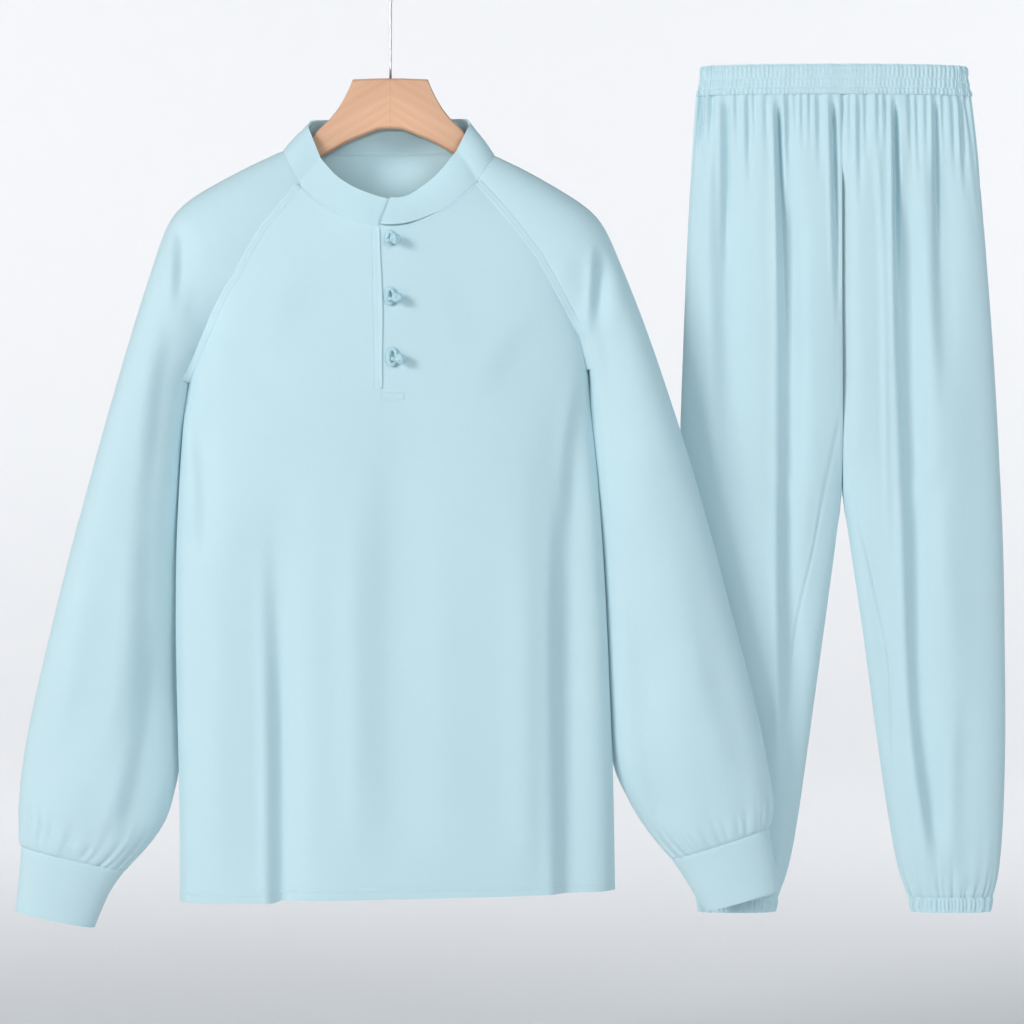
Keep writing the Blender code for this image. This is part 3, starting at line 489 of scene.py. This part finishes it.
# Gathers under the waistband: x at the waist, x at the end, length, half width, depth.
WAIST_GATHERS = (
    (346, 343, 90, 2.6, 1.4), (356.7, 355, 60, 2.6, 1.7), (372.3, 371, 220, 3.6, 3.6), (384, 385, 70, 2.4, 1.2),
    (396.7, 398, 120, 3.0, 1.9), (403.3, 404, 60, 2.4, 1.6), (416, 418, 80, 3.0, 1.2), (428.9, 438, 330, 3.4, 5.6),
    (440.0, 442, 100, 3.0, 2.2), (449, 450, 50, 2.2, 1.2), (456.6, 457, 70, 2.4, 1.8), (465, 465, 60, 2.2, 1.4),
    (474.4, 476, 100, 3.0, 2.1), (489.9, 497, 280, 3.2, 5.2), (502.1, 502, 60, 2.2, 1.6), (510, 511, 90, 2.6, 1.6),
    (519.9, 521, 140, 3.2, 2.6), (527.6, 527, 90, 3.0, 2.4), (541.0, 541, 70, 2.4, 1.7), (548.7, 550, 70, 2.4, 1.9),
    (559.8, 565, 330, 3.4, 5.8), (576.5, 580, 90, 3.0, 2.2), (584.2, 588, 120, 3.0, 1.9), (595.3, 596, 70, 2.4, 1.5),
    (605.3, 610, 230, 3.6, 3.8), (614.2, 616, 70, 2.6, 1.6), (625, 628, 90, 2.6, 1.5), (635.3, 640, 130, 3.2, 2.2),
)
LEG_LEFT_CREASES = (
    (9, 4.0, 0.2, 0.5, (371, -200), (372, -440), (378, -640)),
    (6.5, 6.5, 0.12, 0.3, (438, -230), (441, -480), (440, -700), (444, -960)),
    (16, 1.8, 0.3, 0.4, (406, -230), (404, -520), (398, -760)),
    (13, -1.2, 0.3, 0.4, (458, -300), (460, -620)),
    (10, 2.4, 0.3, 0.3, (478, -560), (462, -720), (446, -900)),
    (14, 1.8, 0.4, 0.2, (352, -560), (360, -800), (368, -1020)),
    (9, 2.0, 0.4, 0.1, (404, -780), (400, -1030)),
)
LEG_RIGHT_CREASES = (
    (6.5, 7.0, 0.12, 0.1, (565, -230), (571, -433), (578, -607), (590, -875), (611, -1023)),
    (9, 3.8, 0.2, 0.5, (610, -200), (613, -340), (618, -540)),
    (5.5, 4.5, 0.1, 0.3, (497, -230), (500, -400), (502, -560)),
    (18, 1.6, 0.3, 0.4, (536, -230), (540, -420), (552, -640)),
    (3.5, -1.0, 0.1, 0.4, (538, -200), (546, -350), (549, -540), (554, -700)),
    (18, 1.6, 0.3, 0.3, (644, -300), (654, -600), (650, -900)),
    (9, 2.4, 0.3, 0.3, (530, -600), (548, -760), (566, -940)),
    (14, -1.2, 0.3, 0.4, (592, -300), (604, -600), (622, -860)),
    (9, 2.0, 0.4, 0.1, (640, -800), (636, -1030)),
)
LEG_BACK_CREASES = (
    (10, 2.6, 0.3, 0.3, (380, -260), (384, -620), (388, -960)),
    (12, 2.2, 0.3, 0.3, (430, -240), (428, -560), (418, -900)),
    (10, 2.8, 0.3, 0.3, (470, -200), (468, -420), (450, -700)),
    (10, 2.6, 0.3, 0.3, (536, -220), (546, -460), (560, -720)),
    (12, 2.4, 0.3, 0.3, (580, -260), (596, -600), (606, -960)),
    (10, 2.2, 0.3, 0.3, (628, -240), (646, -600), (650, -920)),
)
# Seam lines inside the legs, from the crotch down the front.
INSEAM_LEFT = ((1.6, 0.8, 0.05, 0.1, (500, -510), (485, -577), (470, -665), (458, -718), (447, -792)),)
INSEAM_RIGHT = ((1.6, 0.8, 0.05, 0.1, (512, -607), (525, -651), (538, -711), (551, -773), (556, -845), (557, -905)),)
waist_front = tuple((half, depth * 1.3, 0.1, 0.75, (top, WAIST_SEAM + 3), (low, WAIST_SEAM - length))
                    for top, low, length, half, depth in WAIST_GATHERS)
waist_back = tuple((half, depth * 1.2, 0.1, 0.75, (1001.6 - top, WAIST_SEAM + 3), (1001.6 - low, WAIST_SEAM - length * 0.7))
                   for top, low, length, half, depth in WAIST_GATHERS)
for side, axis, table, inseam, seed in (("left", LEG_LEFT_AXIS, LEG_LEFT_CREASES, INSEAM_LEFT, 11),
                                        ("right", LEG_RIGHT_AXIS, LEG_RIGHT_CREASES, INSEAM_RIGHT, 12)):
    piece = fine_wall(f"leg_{side}_cloth", f"leg_{side}", 3)
    points = points_of(piece)
    down, turn, out = along_axis(points, axis)
    _, _, hip_out = along_axis(points, HIP_AXIS)
    share = np.clip((points[:, 2] + 620) / 220, 0, 1)[:, None]
    blended = hip_out * share + out * (1 - share)
    blended /= np.linalg.norm(blended, axis=1, keepdims=True)
    ankle_end = gathers(-points[:, 2], turn, 1050, 62, (48, 18), 8.0, 3.2, seed)
    relief = seam_relief(piece, points, blended) - points
    points = points + relief - blended * ankle_end[:, None]
    points = creased(points, blended, waist_front + table + inseam, -1)
    points = creased(points, blended, waist_back + LEG_BACK_CREASES, 1)
    set_points(piece, points)
    sewn(piece, f"leg_{side}")
    casing = fine_wall(f"ankle_{side}_casing", f"ankle_{side}", 3)
    points = points_of(casing)
    down, turn, out = along_axis(points, axis)
    arc, _ = girth(turn, 47, 17)
    puff = np.sin(math.pi * np.clip((-1052 - points[:, 2]) / 14.0, 0, 1)) ** 0.5
    ripple = np.sin(arc * 2 * math.pi / 4.6 + 1.4 * np.sin(arc / 9.0))
    set_points(casing, points + out * (0.9 * ripple * puff)[:, None])
    sewn(casing, f"ankle_{side}")

WAIST_ROW_Z = (-122.6, -138.2, -148.4, -158.0)
RIB_PITCH = 4.7
waistband = fine_wall("waistband_elastic", "waistband", 3)
points = points_of(waistband)
_, _, out = along_axis(points, HIP_AXIS)
from_middle = points[:, 0] - 500.8
side_share = ramp((np.abs(from_middle) - 125) / 22)
round_band = from_middle + np.sign(from_middle) * side_share * (26 - np.abs(points[:, 1] - 55))
height = np.zeros(len(points))
for number, (top, low) in enumerate(zip(WAIST_ROW_Z, WAIST_ROW_Z[1:])):
    share = (top - points[:, 2]) / (top - low)
    inside = (share >= 0) & (share <= 1)
    puff = np.sin(math.pi * np.clip(share, 0, 1)) ** 0.6
    ripple = np.sin(round_band * 2 * math.pi / RIB_PITCH + 2.0 * np.sin(round_band / 31)
                    + 1.7 * number + 0.7 * np.sin(round_band / 13 + 2 * number))
    height += np.where(inside, puff * (1.25 + 0.75 * ripple) - 0.7, 0)
set_points(waistband, points + out * height[:, None])
sewn(waistband, "waistband")

# --- Stitches: polyester thread of the cloth's colour, in rows where the pieces are sewn down.
# Each is a short tapered thread dipping into the cloth at both ends; rows are laid on the finished cloth.
STITCH = 2.7
STITCH_GAP = 0.8
THREAD = 0.24
thread_mat = cloth_material("thread_light_blue", (0.62, 0.84, 0.90), pitch=0.0003)


def cloth_tree(*names):
    verts, faces = [], []
    for name in names:
        data = bpy.data.objects[name].data
        base = len(verts)
        verts += [vert.co.copy() for vert in data.vertices]
        faces += [[base + index for index in polygon.vertices] for polygon in data.polygons]
    return BVHTree.FromPolygons(verts, faces)


def on_front(tree, line, side=-1):
    """A line of x, z in mm laid on the cloth from in front (side -1) or from behind (side 1)."""
    laid = []
    line = np.array(line, float)
    run = np.concatenate([[0], np.cumsum(np.linalg.norm(np.diff(line, axis=0), axis=1))])
    for at in np.arange(0, run[-1], 1.0):
        x, z = np.interp(at, run, line[:, 0]), np.interp(at, run, line[:, 1])
        hit, normal, _, _ = tree.ray_cast(Vector((x * MM, 0.3 * side, z * MM)), Vector((0, -side, 0)))
        if hit is not None:
            laid.append((hit, normal if normal.y * side > 0 else -normal))
    return laid


def round_tube(tree, axis, down, count=260, start=0.0, stop=2 * math.pi):
    """A line round a tube at a distance down its axis, seen from the axis outwards."""
    axis = np.array(axis, float)
    step = np.concatenate([[0], np.cumsum(np.linalg.norm(np.diff(axis[:, :2], axis=0), axis=1))])
    here = np.array([smooth_line(down, step, column) for column in axis.T])
    ahead = np.array([smooth_line(down + 4, step, column) for column in axis.T])
    heading = (ahead - here)[:2] / np.linalg.norm((ahead - here)[:2])
    across = Vector((-heading[1], 0, heading[0]))
    middle = Vector((here[0] * MM, here[4] * MM, here[1] * MM))
    laid = []
    for turn in np.linspace(start, stop, count):
        way = (across * here[2] * math.cos(turn) + Vector((0, 1, 0)) * here[3] * math.sin(turn)).normalized()
        hit, normal, _, _ = tree.ray_cast(middle + way * (here[2] + 25) * MM, -way, here[2] * MM + 0.025)
        if hit is not None:
            laid.append((hit, normal if normal.dot(way) > 0 else -normal))
    return laid


# Cloth pulled up beside a sewn row: shares of the half width and of the height.
RIDGE = ((-1.0, -0.5), (-0.68, 0.75), (-0.28, 0.85), (0.0, 0.05), (0.28, 0.85), (0.68, 0.75), (1.0, -0.5))


def ridge(bm, tree, line, half, height, side=-1):
    """A low double ridge of cloth along an x, z line in mm, its two edges let into the cloth below."""
    line = np.array(line, float)
    run = np.concatenate([[0], np.cumsum(np.linalg.norm(np.diff(line, axis=0), axis=1))])
    ways = beside(line, 1.0) - line
    before = None
    for at in np.arange(0, run[-1], 2.0):
        spot = np.array([np.interp(at, run, line[:, 0]), np.interp(at, run, line[:, 1])])
        way = np.array([np.interp(at, run, ways[:, 0]), np.interp(at, run, ways[:, 1])])
        ends = []
        for sign in (-1, 1):
            x, z = spot + way * half * sign
            hit, normal, _, _ = tree.ray_cast(Vector((x * MM, 0.3 * side, z * MM)), Vector((0, -side, 0)))
            if hit is not None:
                ends.append((hit, normal if normal.y * side > 0 else -normal))
        if len(ends) < 2:
            before = None
            continue
        up = (ends[0][1] + ends[1][1]).normalized()
        ring = [bm.verts.new(ends[0][0].lerp(ends[1][0], (share + 1) / 2) + up * lift * height * MM)
                for share, lift in RIDGE]
        for k in range(len(ring) - 1 if before else 0):
            bm.faces.new([before[k], before[k + 1], ring[k + 1], ring[k]]).material_index = 1
        before = ring


def stitches(name, rows, ridges=()):
    """One joined mesh of all stitches along the laid rows, and the ridges of cloth beside them."""
    bm = bmesh.new()
    for under, line, half, height, side in ridges:
        ridge(bm, under, line, half, height, side)
    for laid in rows:
        if len(laid) < 3:
            continue
        spots = np.array([hit for hit, _ in laid]) / MM
        normals = np.array([normal for _, normal in laid])
        run = np.concatenate([[0], np.cumsum(np.linalg.norm(np.diff(spots, axis=0), axis=1))])
        for start in np.arange(0, run[-1] - STITCH, STITCH + STITCH_GAP):
            rings = []
            for share, lift, size in ((0.0, -0.12, 0.55), (0.3, 0.16, 1.0), (0.7, 0.16, 1.0), (1.0, -0.12, 0.55)):
                at = start + STITCH * share
                spot = np.array([np.interp(at, run, column) for column in spots.T])
                up = np.array([np.interp(at, run, column) for column in normals.T])
                up /= np.linalg.norm(up)
                beyond = np.array([np.interp(at + 0.5, run, column) for column in spots.T]) - spot
                side = np.cross(beyond, up)
                side /= max(np.linalg.norm(side), 1e-9)
                middle = spot + up * lift
                rings.append([bm.verts.new((middle + side * a * size * THREAD + up * b * size * THREAD) * MM)
                              for a, b in ((1, 0), (0, 1), (-1, 0), (0, -1))])
            for first, second in zip(rings, rings[1:]):
                for k in range(4):
                    bm.faces.new([first[k], first[(k + 1) % 4], second[(k + 1) % 4], second[k]])
            bm.faces.new(rings[0][::-1])
            bm.faces.new(rings[-1])
    bmesh.ops.recalc_face_normals(bm, faces=bm.faces[:])
    data = bpy.data.meshes.new(name)
    bm.to_mesh(data)
    bm.free()
    data.materials.append(thread_mat)
    data.materials.append(cloth)
    data.polygons.foreach_set("use_smooth", [True] * len(data.polygons))
    made = bpy.data.objects.new(name, data)
    bpy.context.scene.collection.objects.link(made)
    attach(made, "root")
    return made


def beside(line, offset):
    """The same x, z line moved sideways."""
    line = np.array(line, float)
    along = np.gradient(line, axis=0)
    along /= np.linalg.norm(along, axis=1, keepdims=True)
    return line + np.column_stack([-along[:, 1], along[:, 0]]) * offset


SEAM_RAGLAN_LEFT = ((-97.5, -262.7), (-119.9, -290.6), (-138.1, -313.9), (-152.1, -337.9), (-165.3, -363.9),
                    (-177.5, -381.0), (-187.9, -400.2), (-207.6, -443.2), (-223.9, -477.4))
SEAM_RAGLAN_RIGHT = ((95.5, -259.4), (113.0, -278.6), (129.3, -297.6), (142.3, -314.0), (163.0, -341.0),
                     (177.2, -365.8), (195.8, -400.2), (211.3, -429.0), (219.5, -464.2))
SEAM_NECK = ((-97.5, -262.7), (-77.2, -281.3), (-55.1, -294.0), (-32.1, -303.0), (-9.2, -310.0), (20.0, -308.7),
             (43.7, -299.7), (69.6, -283.8), (95.5, -259.4))
HEM = ((-228, -1037.5), (-120, -1036.5), (-110, -1032), (8, -1030.5), (196, -1028), (244, -1026.5))
top_tree = cloth_tree("front_panel", "back_panel", "sleeve_left_cloth", "sleeve_right_cloth")
rows = [on_front(top_tree, beside(line, offset)) for line in (SEAM_RAGLAN_LEFT, SEAM_RAGLAN_RIGHT)
        for offset in (-2.6, 2.6)]
rows += [on_front(top_tree, beside(SEAM_NECK, -3.4))]
rows += [on_front(top_tree, HEM, side) for side in (-1, 1)]
ridges = [(top_tree, line, 4.4, 0.45, -1) for line in (SEAM_RAGLAN_LEFT, SEAM_RAGLAN_RIGHT)]
ridges += [(top_tree, beside(SEAM_NECK, -3.4), 2.0, 0.3, -1)]
ridges += [(top_tree, HEM, 2.4, 0.45, side) for side in (-1, 1)]
placket_tree = cloth_tree("front_panel", "placket_strip")
placket_lines = [((left, -312), (left + 1.5, -400), (left + 3, -484)) for left in (-19.5, -15.0)]
tack = ((-8.5, -490.3), (15.5, -490.3), (15.5, -498.4), (-8.5, -498.4), (-8.5, -490.3))
rows += [on_front(placket_tree, line) for line in (*placket_lines, tack)]
ridges += [(placket_tree, line, 1.7, 0.25, -1) for line in placket_lines]
ridges += [(placket_tree, pair, 1.5, 0.5, -1) for pair in zip(tack, tack[1:])]
ridges += [(cloth_tree("back_panel", "collar_stand"), ((-64, -221.5), (54, -221.5)), 2.2, 0.6, -1)]
stitches("pullover_stitches", rows, ridges)
rows = []
for side, axis, seam_at, low in (("left", SLEEVE_LEFT_AXIS, 806, 872), ("right", SLEEVE_RIGHT_AXIS, 797, 858)):
    cuff_tree = cloth_tree(f"cuff_{side}_cloth", f"sleeve_{side}_cloth")
    rows += [round_tube(cuff_tree, axis, seam_at + 6)]
stitches("cuff_stitches", rows)
waist_tree = cloth_tree("waistband_elastic")
rows = []
for z in WAIST_ROW_Z[1:3]:
    rows += [round_tube(waist_tree, HIP_AXIS, -90 - z, count=620)]
leg_tree = cloth_tree("leg_left_cloth", "leg_right_cloth", "ankle_left_casing", "ankle_right_casing")
for axis in (LEG_LEFT_AXIS, LEG_RIGHT_AXIS):
    rows += [round_tube(leg_tree, axis, 948.0, count=240)]
stitches("trouser_stitches", rows)

# --- Knot buttons and their loops: one round cord of the same cloth, knotted into a ball and laid as a loop.
LOOP_THIN = 2.0
LOOP_THICK = 2.7
NECK = 2.3
NECK_DROP = {1: 1.6, 2: 1.0, 3: 0.0}
KNOT_CORD = 1.5
KNOT_POLE = np.array([0.45, -0.30, 0.84])
cord_mat = cloth_material("cord_light_blue", (0.545, 0.785, 0.855), pitch=0.0007, bump_strength=0.5)


def cord_tube(bm, path, radius, closed=True, sides=8, taper=0.0):
    """A round cord swept along a path of points in mm; taper narrows an open cord's ends."""
    path = np.array(path, float)
    count = len(path)
    ahead = np.roll(path, -1, axis=0) - np.roll(path, 1, axis=0) if closed else np.gradient(path, axis=0)
    ahead /= np.linalg.norm(ahead, axis=1, keepdims=True)
    up = np.array([0.0, -1.0, 0.0])
    rings = []
    for index in range(count):
        up = up - ahead[index] * np.dot(up, ahead[index])
        up /= np.linalg.norm(up)
        side = np.cross(ahead[index], up)
        end = min(index, count - 1 - index) / max(count - 1, 1) * 2
        size = radius if closed else radius * (1 - taper * (1 - min(end * 3, 1.0)) ** 2)
        rings.append([bm.verts.new((path[index] + size * (up * math.cos(a) + side * math.sin(a))) * MM)
                      for a in np.linspace(0, 2 * math.pi, sides, endpoint=False)])
    pairs = list(zip(rings, rings[1:] + rings[:1])) if closed else list(zip(rings, rings[1:]))
    for first, second in pairs:
        for k in range(sides):
            bm.faces.new([first[k], first[(k + 1) % sides], second[(k + 1) % sides], second[k]])
    if not closed:
        bm.faces.new(rings[0][::-1])
        bm.faces.new(rings[-1])


def finished(name, bm, mat, node):
    bmesh.ops.recalc_face_normals(bm, faces=bm.faces[:])
    data = bpy.data.meshes.new(name)
    bm.to_mesh(data)
    bm.free()
    if "custom_normal" in data.attributes:
        data.attributes.remove(data.attributes["custom_normal"])
    data.materials.append(mat)
    data.polygons.foreach_set("use_smooth", [True] * len(data.polygons))
    made = bpy.data.objects.new(name, data)
    bpy.context.scene.collection.objects.link(made)
    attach(made, "root")
    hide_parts(node)
    return made


for number in (1, 2, 3):
    low, high = (np.array(corner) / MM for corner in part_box(f"button_{number}"))
    middle, radius = (low + high) / 2, (high - low).max() / 2
    bm = bmesh.new()
    core = bmesh.ops.create_uvsphere(bm, u_segments=24, v_segments=16, radius=(radius - 0.2) * MM)
    for vert in core["verts"]:
        vert.co += Vector(middle * MM)
    pole = KNOT_POLE / np.linalg.norm(KNOT_POLE)
    first_way = np.cross(pole, (0, 1, 0))
    first_way /= np.linalg.norm(first_way)
    second_way = np.cross(pole, first_way)
    path = []
    for t in np.linspace(0, 2 * math.pi, 260, endpoint=False):
        height = 1.02 * math.sin(4 * t)
        reach = radius - 0.95 + 0.4 * math.cos(8 * t + 0.6)
        turn = 3 * t + number
        level = first_way * math.cos(turn) + second_way * math.sin(turn)
        path.append(middle + reach * (level * math.cos(height) + pole * math.sin(height)))
    cord_tube(bm, path, KNOT_CORD)
    drop = np.array([0.0, 1.0, -NECK_DROP[number]])
    neck = [middle + drop * min(reach / 6, 1) + np.array([-reach, radius - 3.6, 0.0]) for reach in np.linspace(1, 10.5, 9)]
    cord_tube(bm, neck, NECK, closed=False, taper=0.3)
    stem = [middle + np.array([0.0, y, 0.0]) for y in np.linspace(radius - 2.0, radius + 2.4, 6)]
    cord_tube(bm, stem, 1.5, closed=False)
    finished(f"knot_button_{number}", bm, cord_mat, f"button_{number}")

    low, high = (np.array(corner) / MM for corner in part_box(f"loop_{number}"))
    middle, half = (low + high) / 2, (high - low) / 2
    bm = bmesh.new()
    rings = []
    for t in np.linspace(0, 2 * math.pi, 120, endpoint=False):
        thick = LOOP_THIN + (LOOP_THICK - LOOP_THIN) * (1 - math.cos(t)) / 2
        away = np.array([math.cos(t), 0, math.sin(t)])
        centre = middle + away * (half - thick)
        rings.append([bm.verts.new((centre + (away * thick * math.cos(a) + np.array([0, half[1] * math.sin(a), 0]))
                                    * (1 + 0.05 * math.cos(3 * a + 14 * t))) * MM)
                      for a in np.linspace(0, 2 * math.pi, 16, endpoint=False)])
    for first, second in zip(rings, rings[1:] + rings[:1]):
        for k in range(16):
            bm.faces.new([first[k], first[(k + 1) % 16], second[(k + 1) % 16], second[k]])
    finished(f"cord_loop_{number}", bm, cord_mat, f"loop_{number}")

# --- Hanger: pale beech, two halves glued on the middle line, sanded smooth, its edges eased.
# The grain runs along each arm; the joint shows as a fine dark line.
wood = bpy.data.materials.new("wood_pale")
wood.use_nodes = True
tree = wood.node_tree
shader = tree.nodes["Principled BSDF"]
place = tree.nodes.new("ShaderNodeTexCoord")
split = tree.nodes.new("ShaderNodeSeparateXYZ")
tree.links.new(place.outputs["Object"], split.inputs[0])
# Each half's grain follows its arm: height plus a share of the distance from the middle.
outward = math_node(tree, "ABSOLUTE", split.outputs["X"])
grain_z = math_node(tree, "ADD", split.outputs["Z"], math_node(tree, "MULTIPLY", outward, 0.62))
combine = tree.nodes.new("ShaderNodeCombineXYZ")
tree.links.new(math_node(tree, "MULTIPLY", outward, 0.16), combine.inputs["X"])
tree.links.new(split.outputs["Y"], combine.inputs["Y"])
tree.links.new(grain_z, combine.inputs["Z"])
broad = noise_node(tree, combine.outputs[0], 42.0, 3.0)
fine_grain = noise_node(tree, combine.outputs[0], 420.0, 2.0)
rings_wave = tree.nodes.new("ShaderNodeTexWave")
rings_wave.wave_type = "BANDS"
rings_wave.bands_direction = "Z"
rings_wave.inputs["Scale"].default_value = 26.0
rings_wave.inputs["Distortion"].default_value = 5.0
rings_wave.inputs["Detail"].default_value = 2.0
tree.links.new(combine.outputs[0], rings_wave.inputs["Vector"])
mixed = math_node(tree, "ADD", math_node(tree, "MULTIPLY", broad, 0.55),
                  math_node(tree, "ADD", math_node(tree, "MULTIPLY", rings_wave.outputs["Fac"], 0.12),
                            math_node(tree, "MULTIPLY", fine_grain, 0.2)))
tones = tree.nodes.new("ShaderNodeValToRGB")
tones.color_ramp.elements[0].position = 0.30
tones.color_ramp.elements[0].color = (0.68, 0.372, 0.227, 1.0)
tones.color_ramp.elements[1].position = 0.70
tones.color_ramp.elements[1].color = (0.78, 0.457, 0.293, 1.0)
tree.links.new(mixed, tones.inputs["Fac"])
joint = math_node(tree, "GREATER_THAN", outward, 0.00035)
darken = tree.nodes.new("ShaderNodeMix")
darken.data_type = "RGBA"
darken.inputs["A"].default_value = (0.64, 0.36, 0.205, 1.0)
tree.links.new(joint, darken.inputs["Factor"])
tree.links.new(tones.outputs["Color"], darken.inputs["B"])
tree.links.new(darken.outputs["Result"], shader.inputs["Base Color"])
shader.inputs["Roughness"].default_value = 0.42
shader.inputs["Coat Weight"].default_value = 0.12
bump = tree.nodes.new("ShaderNodeBump")
bump.inputs["Strength"].default_value = 0.15
bump.inputs["Distance"].default_value = 0.0003
tree.links.new(fine_grain, bump.inputs["Height"])
tree.links.new(bump.outputs["Normal"], shader.inputs["Normal"])
bm = bmesh.new()
bm.from_mesh(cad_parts["hanger"].data)
bmesh.ops.remove_doubles(bm, verts=bm.verts[:], dist=2e-5)
bmesh.ops.join_triangles(bm, faces=bm.faces[:], angle_face_threshold=3.1, angle_shape_threshold=3.1,
                         topology_influence=2.0)
bmesh.ops.recalc_face_normals(bm, faces=bm.faces[:])
bmesh.ops.bevel(bm, geom=[edge for edge in bm.edges if len(edge.link_faces) == 2 and edge.calc_face_angle() > 0.6],
                offset=0.9 * MM, segments=3, profile=0.5, affect="EDGES", clamp_overlap=True)
hanger = finished("hanger_wood", bm, wood, "hanger")
hanger.data.set_sharp_from_angle(angle=0.7)

# --- Hook: bright steel wire, bent cold, screwed into the hanger's hub, with fine drawing marks along it.
steel = bpy.data.materials.new("steel_wire")
steel.use_nodes = True
tree = steel.node_tree
shader = tree.nodes["Principled BSDF"]
place = tree.nodes.new("ShaderNodeTexCoord")
marks = noise_node(tree, stretched(tree, place.outputs["Object"], (1.0, 1.0, 0.04)), 1800.0, 2.0)
shader.inputs["Base Color"].default_value = (0.46, 0.44, 0.42, 1.0)
shader.inputs["Metallic"].default_value = 1.0
tree.links.new(math_node(tree, "ADD", math_node(tree, "MULTIPLY", marks, 0.16), 0.2), shader.inputs["Roughness"])
path = [(0.0, 0.0, z) for z in np.linspace(-143.7, -62.0, 8)] + [(0.6, 0.0, -55.0), (3.4, 0.0, -47.5), (8.4, 0.0, -41.2)]
for degrees in np.linspace(146, -128, 48):
    path.append((21.75 * math.sin(math.radians(degrees)), 0.0, 21.75 * math.cos(math.radians(degrees)) - 20.0))
bm = bmesh.new()
cord_tube(bm, path, 1.72, closed=False, sides=16, taper=0.25)
finished("hook_wire", bm, steel, "hook")

# --- Camera at the picture's viewing angle: level, straight on, a long lens.
camera_data = bpy.data.cameras.new("camera")
camera_data.lens = 100.0
camera_data.sensor_width = 36.0
camera = bpy.data.objects.new("camera", camera_data)
camera.location = (0.13365, -3.129, -0.6204)
camera.rotation_euler = (math.pi / 2, 0, 0)
bpy.context.scene.collection.objects.link(camera)
bpy.context.scene.camera = camera

# --- Studio: a pale floor that curves up all round, and soft lamps.
FLOOR_Z = -1.35
bowl = bmesh.new()
rings = []
for radius, height in ((0.4, 0.0), (1.6, 0.0), (3.1, 0.0), (4.6, 0.0), (5.6, 0.06), (6.4, 0.3), (7.0, 0.8), (7.3, 1.5), (7.4, 4.4)):
    rings.append([bowl.verts.new((radius * math.cos(a), radius * math.sin(a), FLOOR_Z + height))
                  for a in np.linspace(0, 2 * math.pi, 64, endpoint=False)])
for inner, outer in zip(rings, rings[1:]):
    for k in range(64):
        bowl.faces.new([inner[k], outer[k], outer[(k + 1) % 64], inner[(k + 1) % 64]])
bowl.faces.new(rings[0])
floor_mesh = bpy.data.meshes.new("floor")
bowl.to_mesh(floor_mesh)
bowl.free()
floor_mesh.polygons.foreach_set("use_smooth", [True] * len(floor_mesh.polygons))
floor = bpy.data.objects.new("floor", floor_mesh)
bpy.context.scene.collection.objects.link(floor)
soften = floor.modifiers.new("soften", "SUBSURF")
soften.levels = soften.render_levels = 2
pale = bpy.data.materials.new("floor_pale")
pale.use_nodes = True
pale.node_tree.nodes["Principled BSDF"].inputs["Base Color"].default_value = (0.80, 0.79, 0.80, 1.0)
pale.node_tree.nodes["Principled BSDF"].inputs["Roughness"].default_value = 0.9
floor_mesh.materials.append(pale)
LAMPS = (
    ("key", (-4.7, -4.2, 1.3), 226, 2.2, (0.15, 0.0, -0.6)),
    ("fill", (2.5, -4.1, 0.8), 63, 1.6, (0.35, 0.0, -0.6)),
    ("back_left", (-2.6, 2.4, 2.4), 110, 2.4, (-1.2, 7.0, -0.4)),
    ("back_right", (3.0, 2.4, 2.4), 110, 2.4, (1.6, 7.0, -0.4)),
)
for name, place, power, width, target in LAMPS:
    lamp = bpy.data.lights.new(name, "AREA")
    lamp.energy = power
    lamp.size = width
    if name == "fill":
        lamp.color = (0.86, 0.955, 1.0)
    lit = bpy.data.objects.new(name, lamp)
    lit.location = place
    lit.rotation_euler = (Vector(target) - Vector(place)).to_track_quat("-Z", "Y").to_euler()
    bpy.context.scene.collection.objects.link(lit)
spot = bpy.data.lights.new("neck", "SPOT")
spot.energy = 116.0
spot.color = (0.82, 0.96, 1.0)
spot.spot_size = math.radians(3.1)
spot.spot_blend = 1.0
spot.shadow_soft_size = 0.05
neck_light = bpy.data.objects.new("neck", spot)
neck_light.location = (0.02, -2.9, -0.42)
neck_light.rotation_euler = (Vector((0.0, 0.03, -0.219)) - neck_light.location).to_track_quat("-Z", "Y").to_euler()
neck_light.visible_glossy = False
bpy.context.scene.collection.objects.link(neck_light)
world = bpy.data.worlds.new("world")
world.use_nodes = True
world.node_tree.nodes["Background"].inputs["Color"].default_value = (0.74, 0.915, 1.0, 1.0)
world.node_tree.nodes["Background"].inputs["Strength"].default_value = 0.25
bpy.context.scene.world = world
bpy.context.scene.view_settings.view_transform = "Standard"
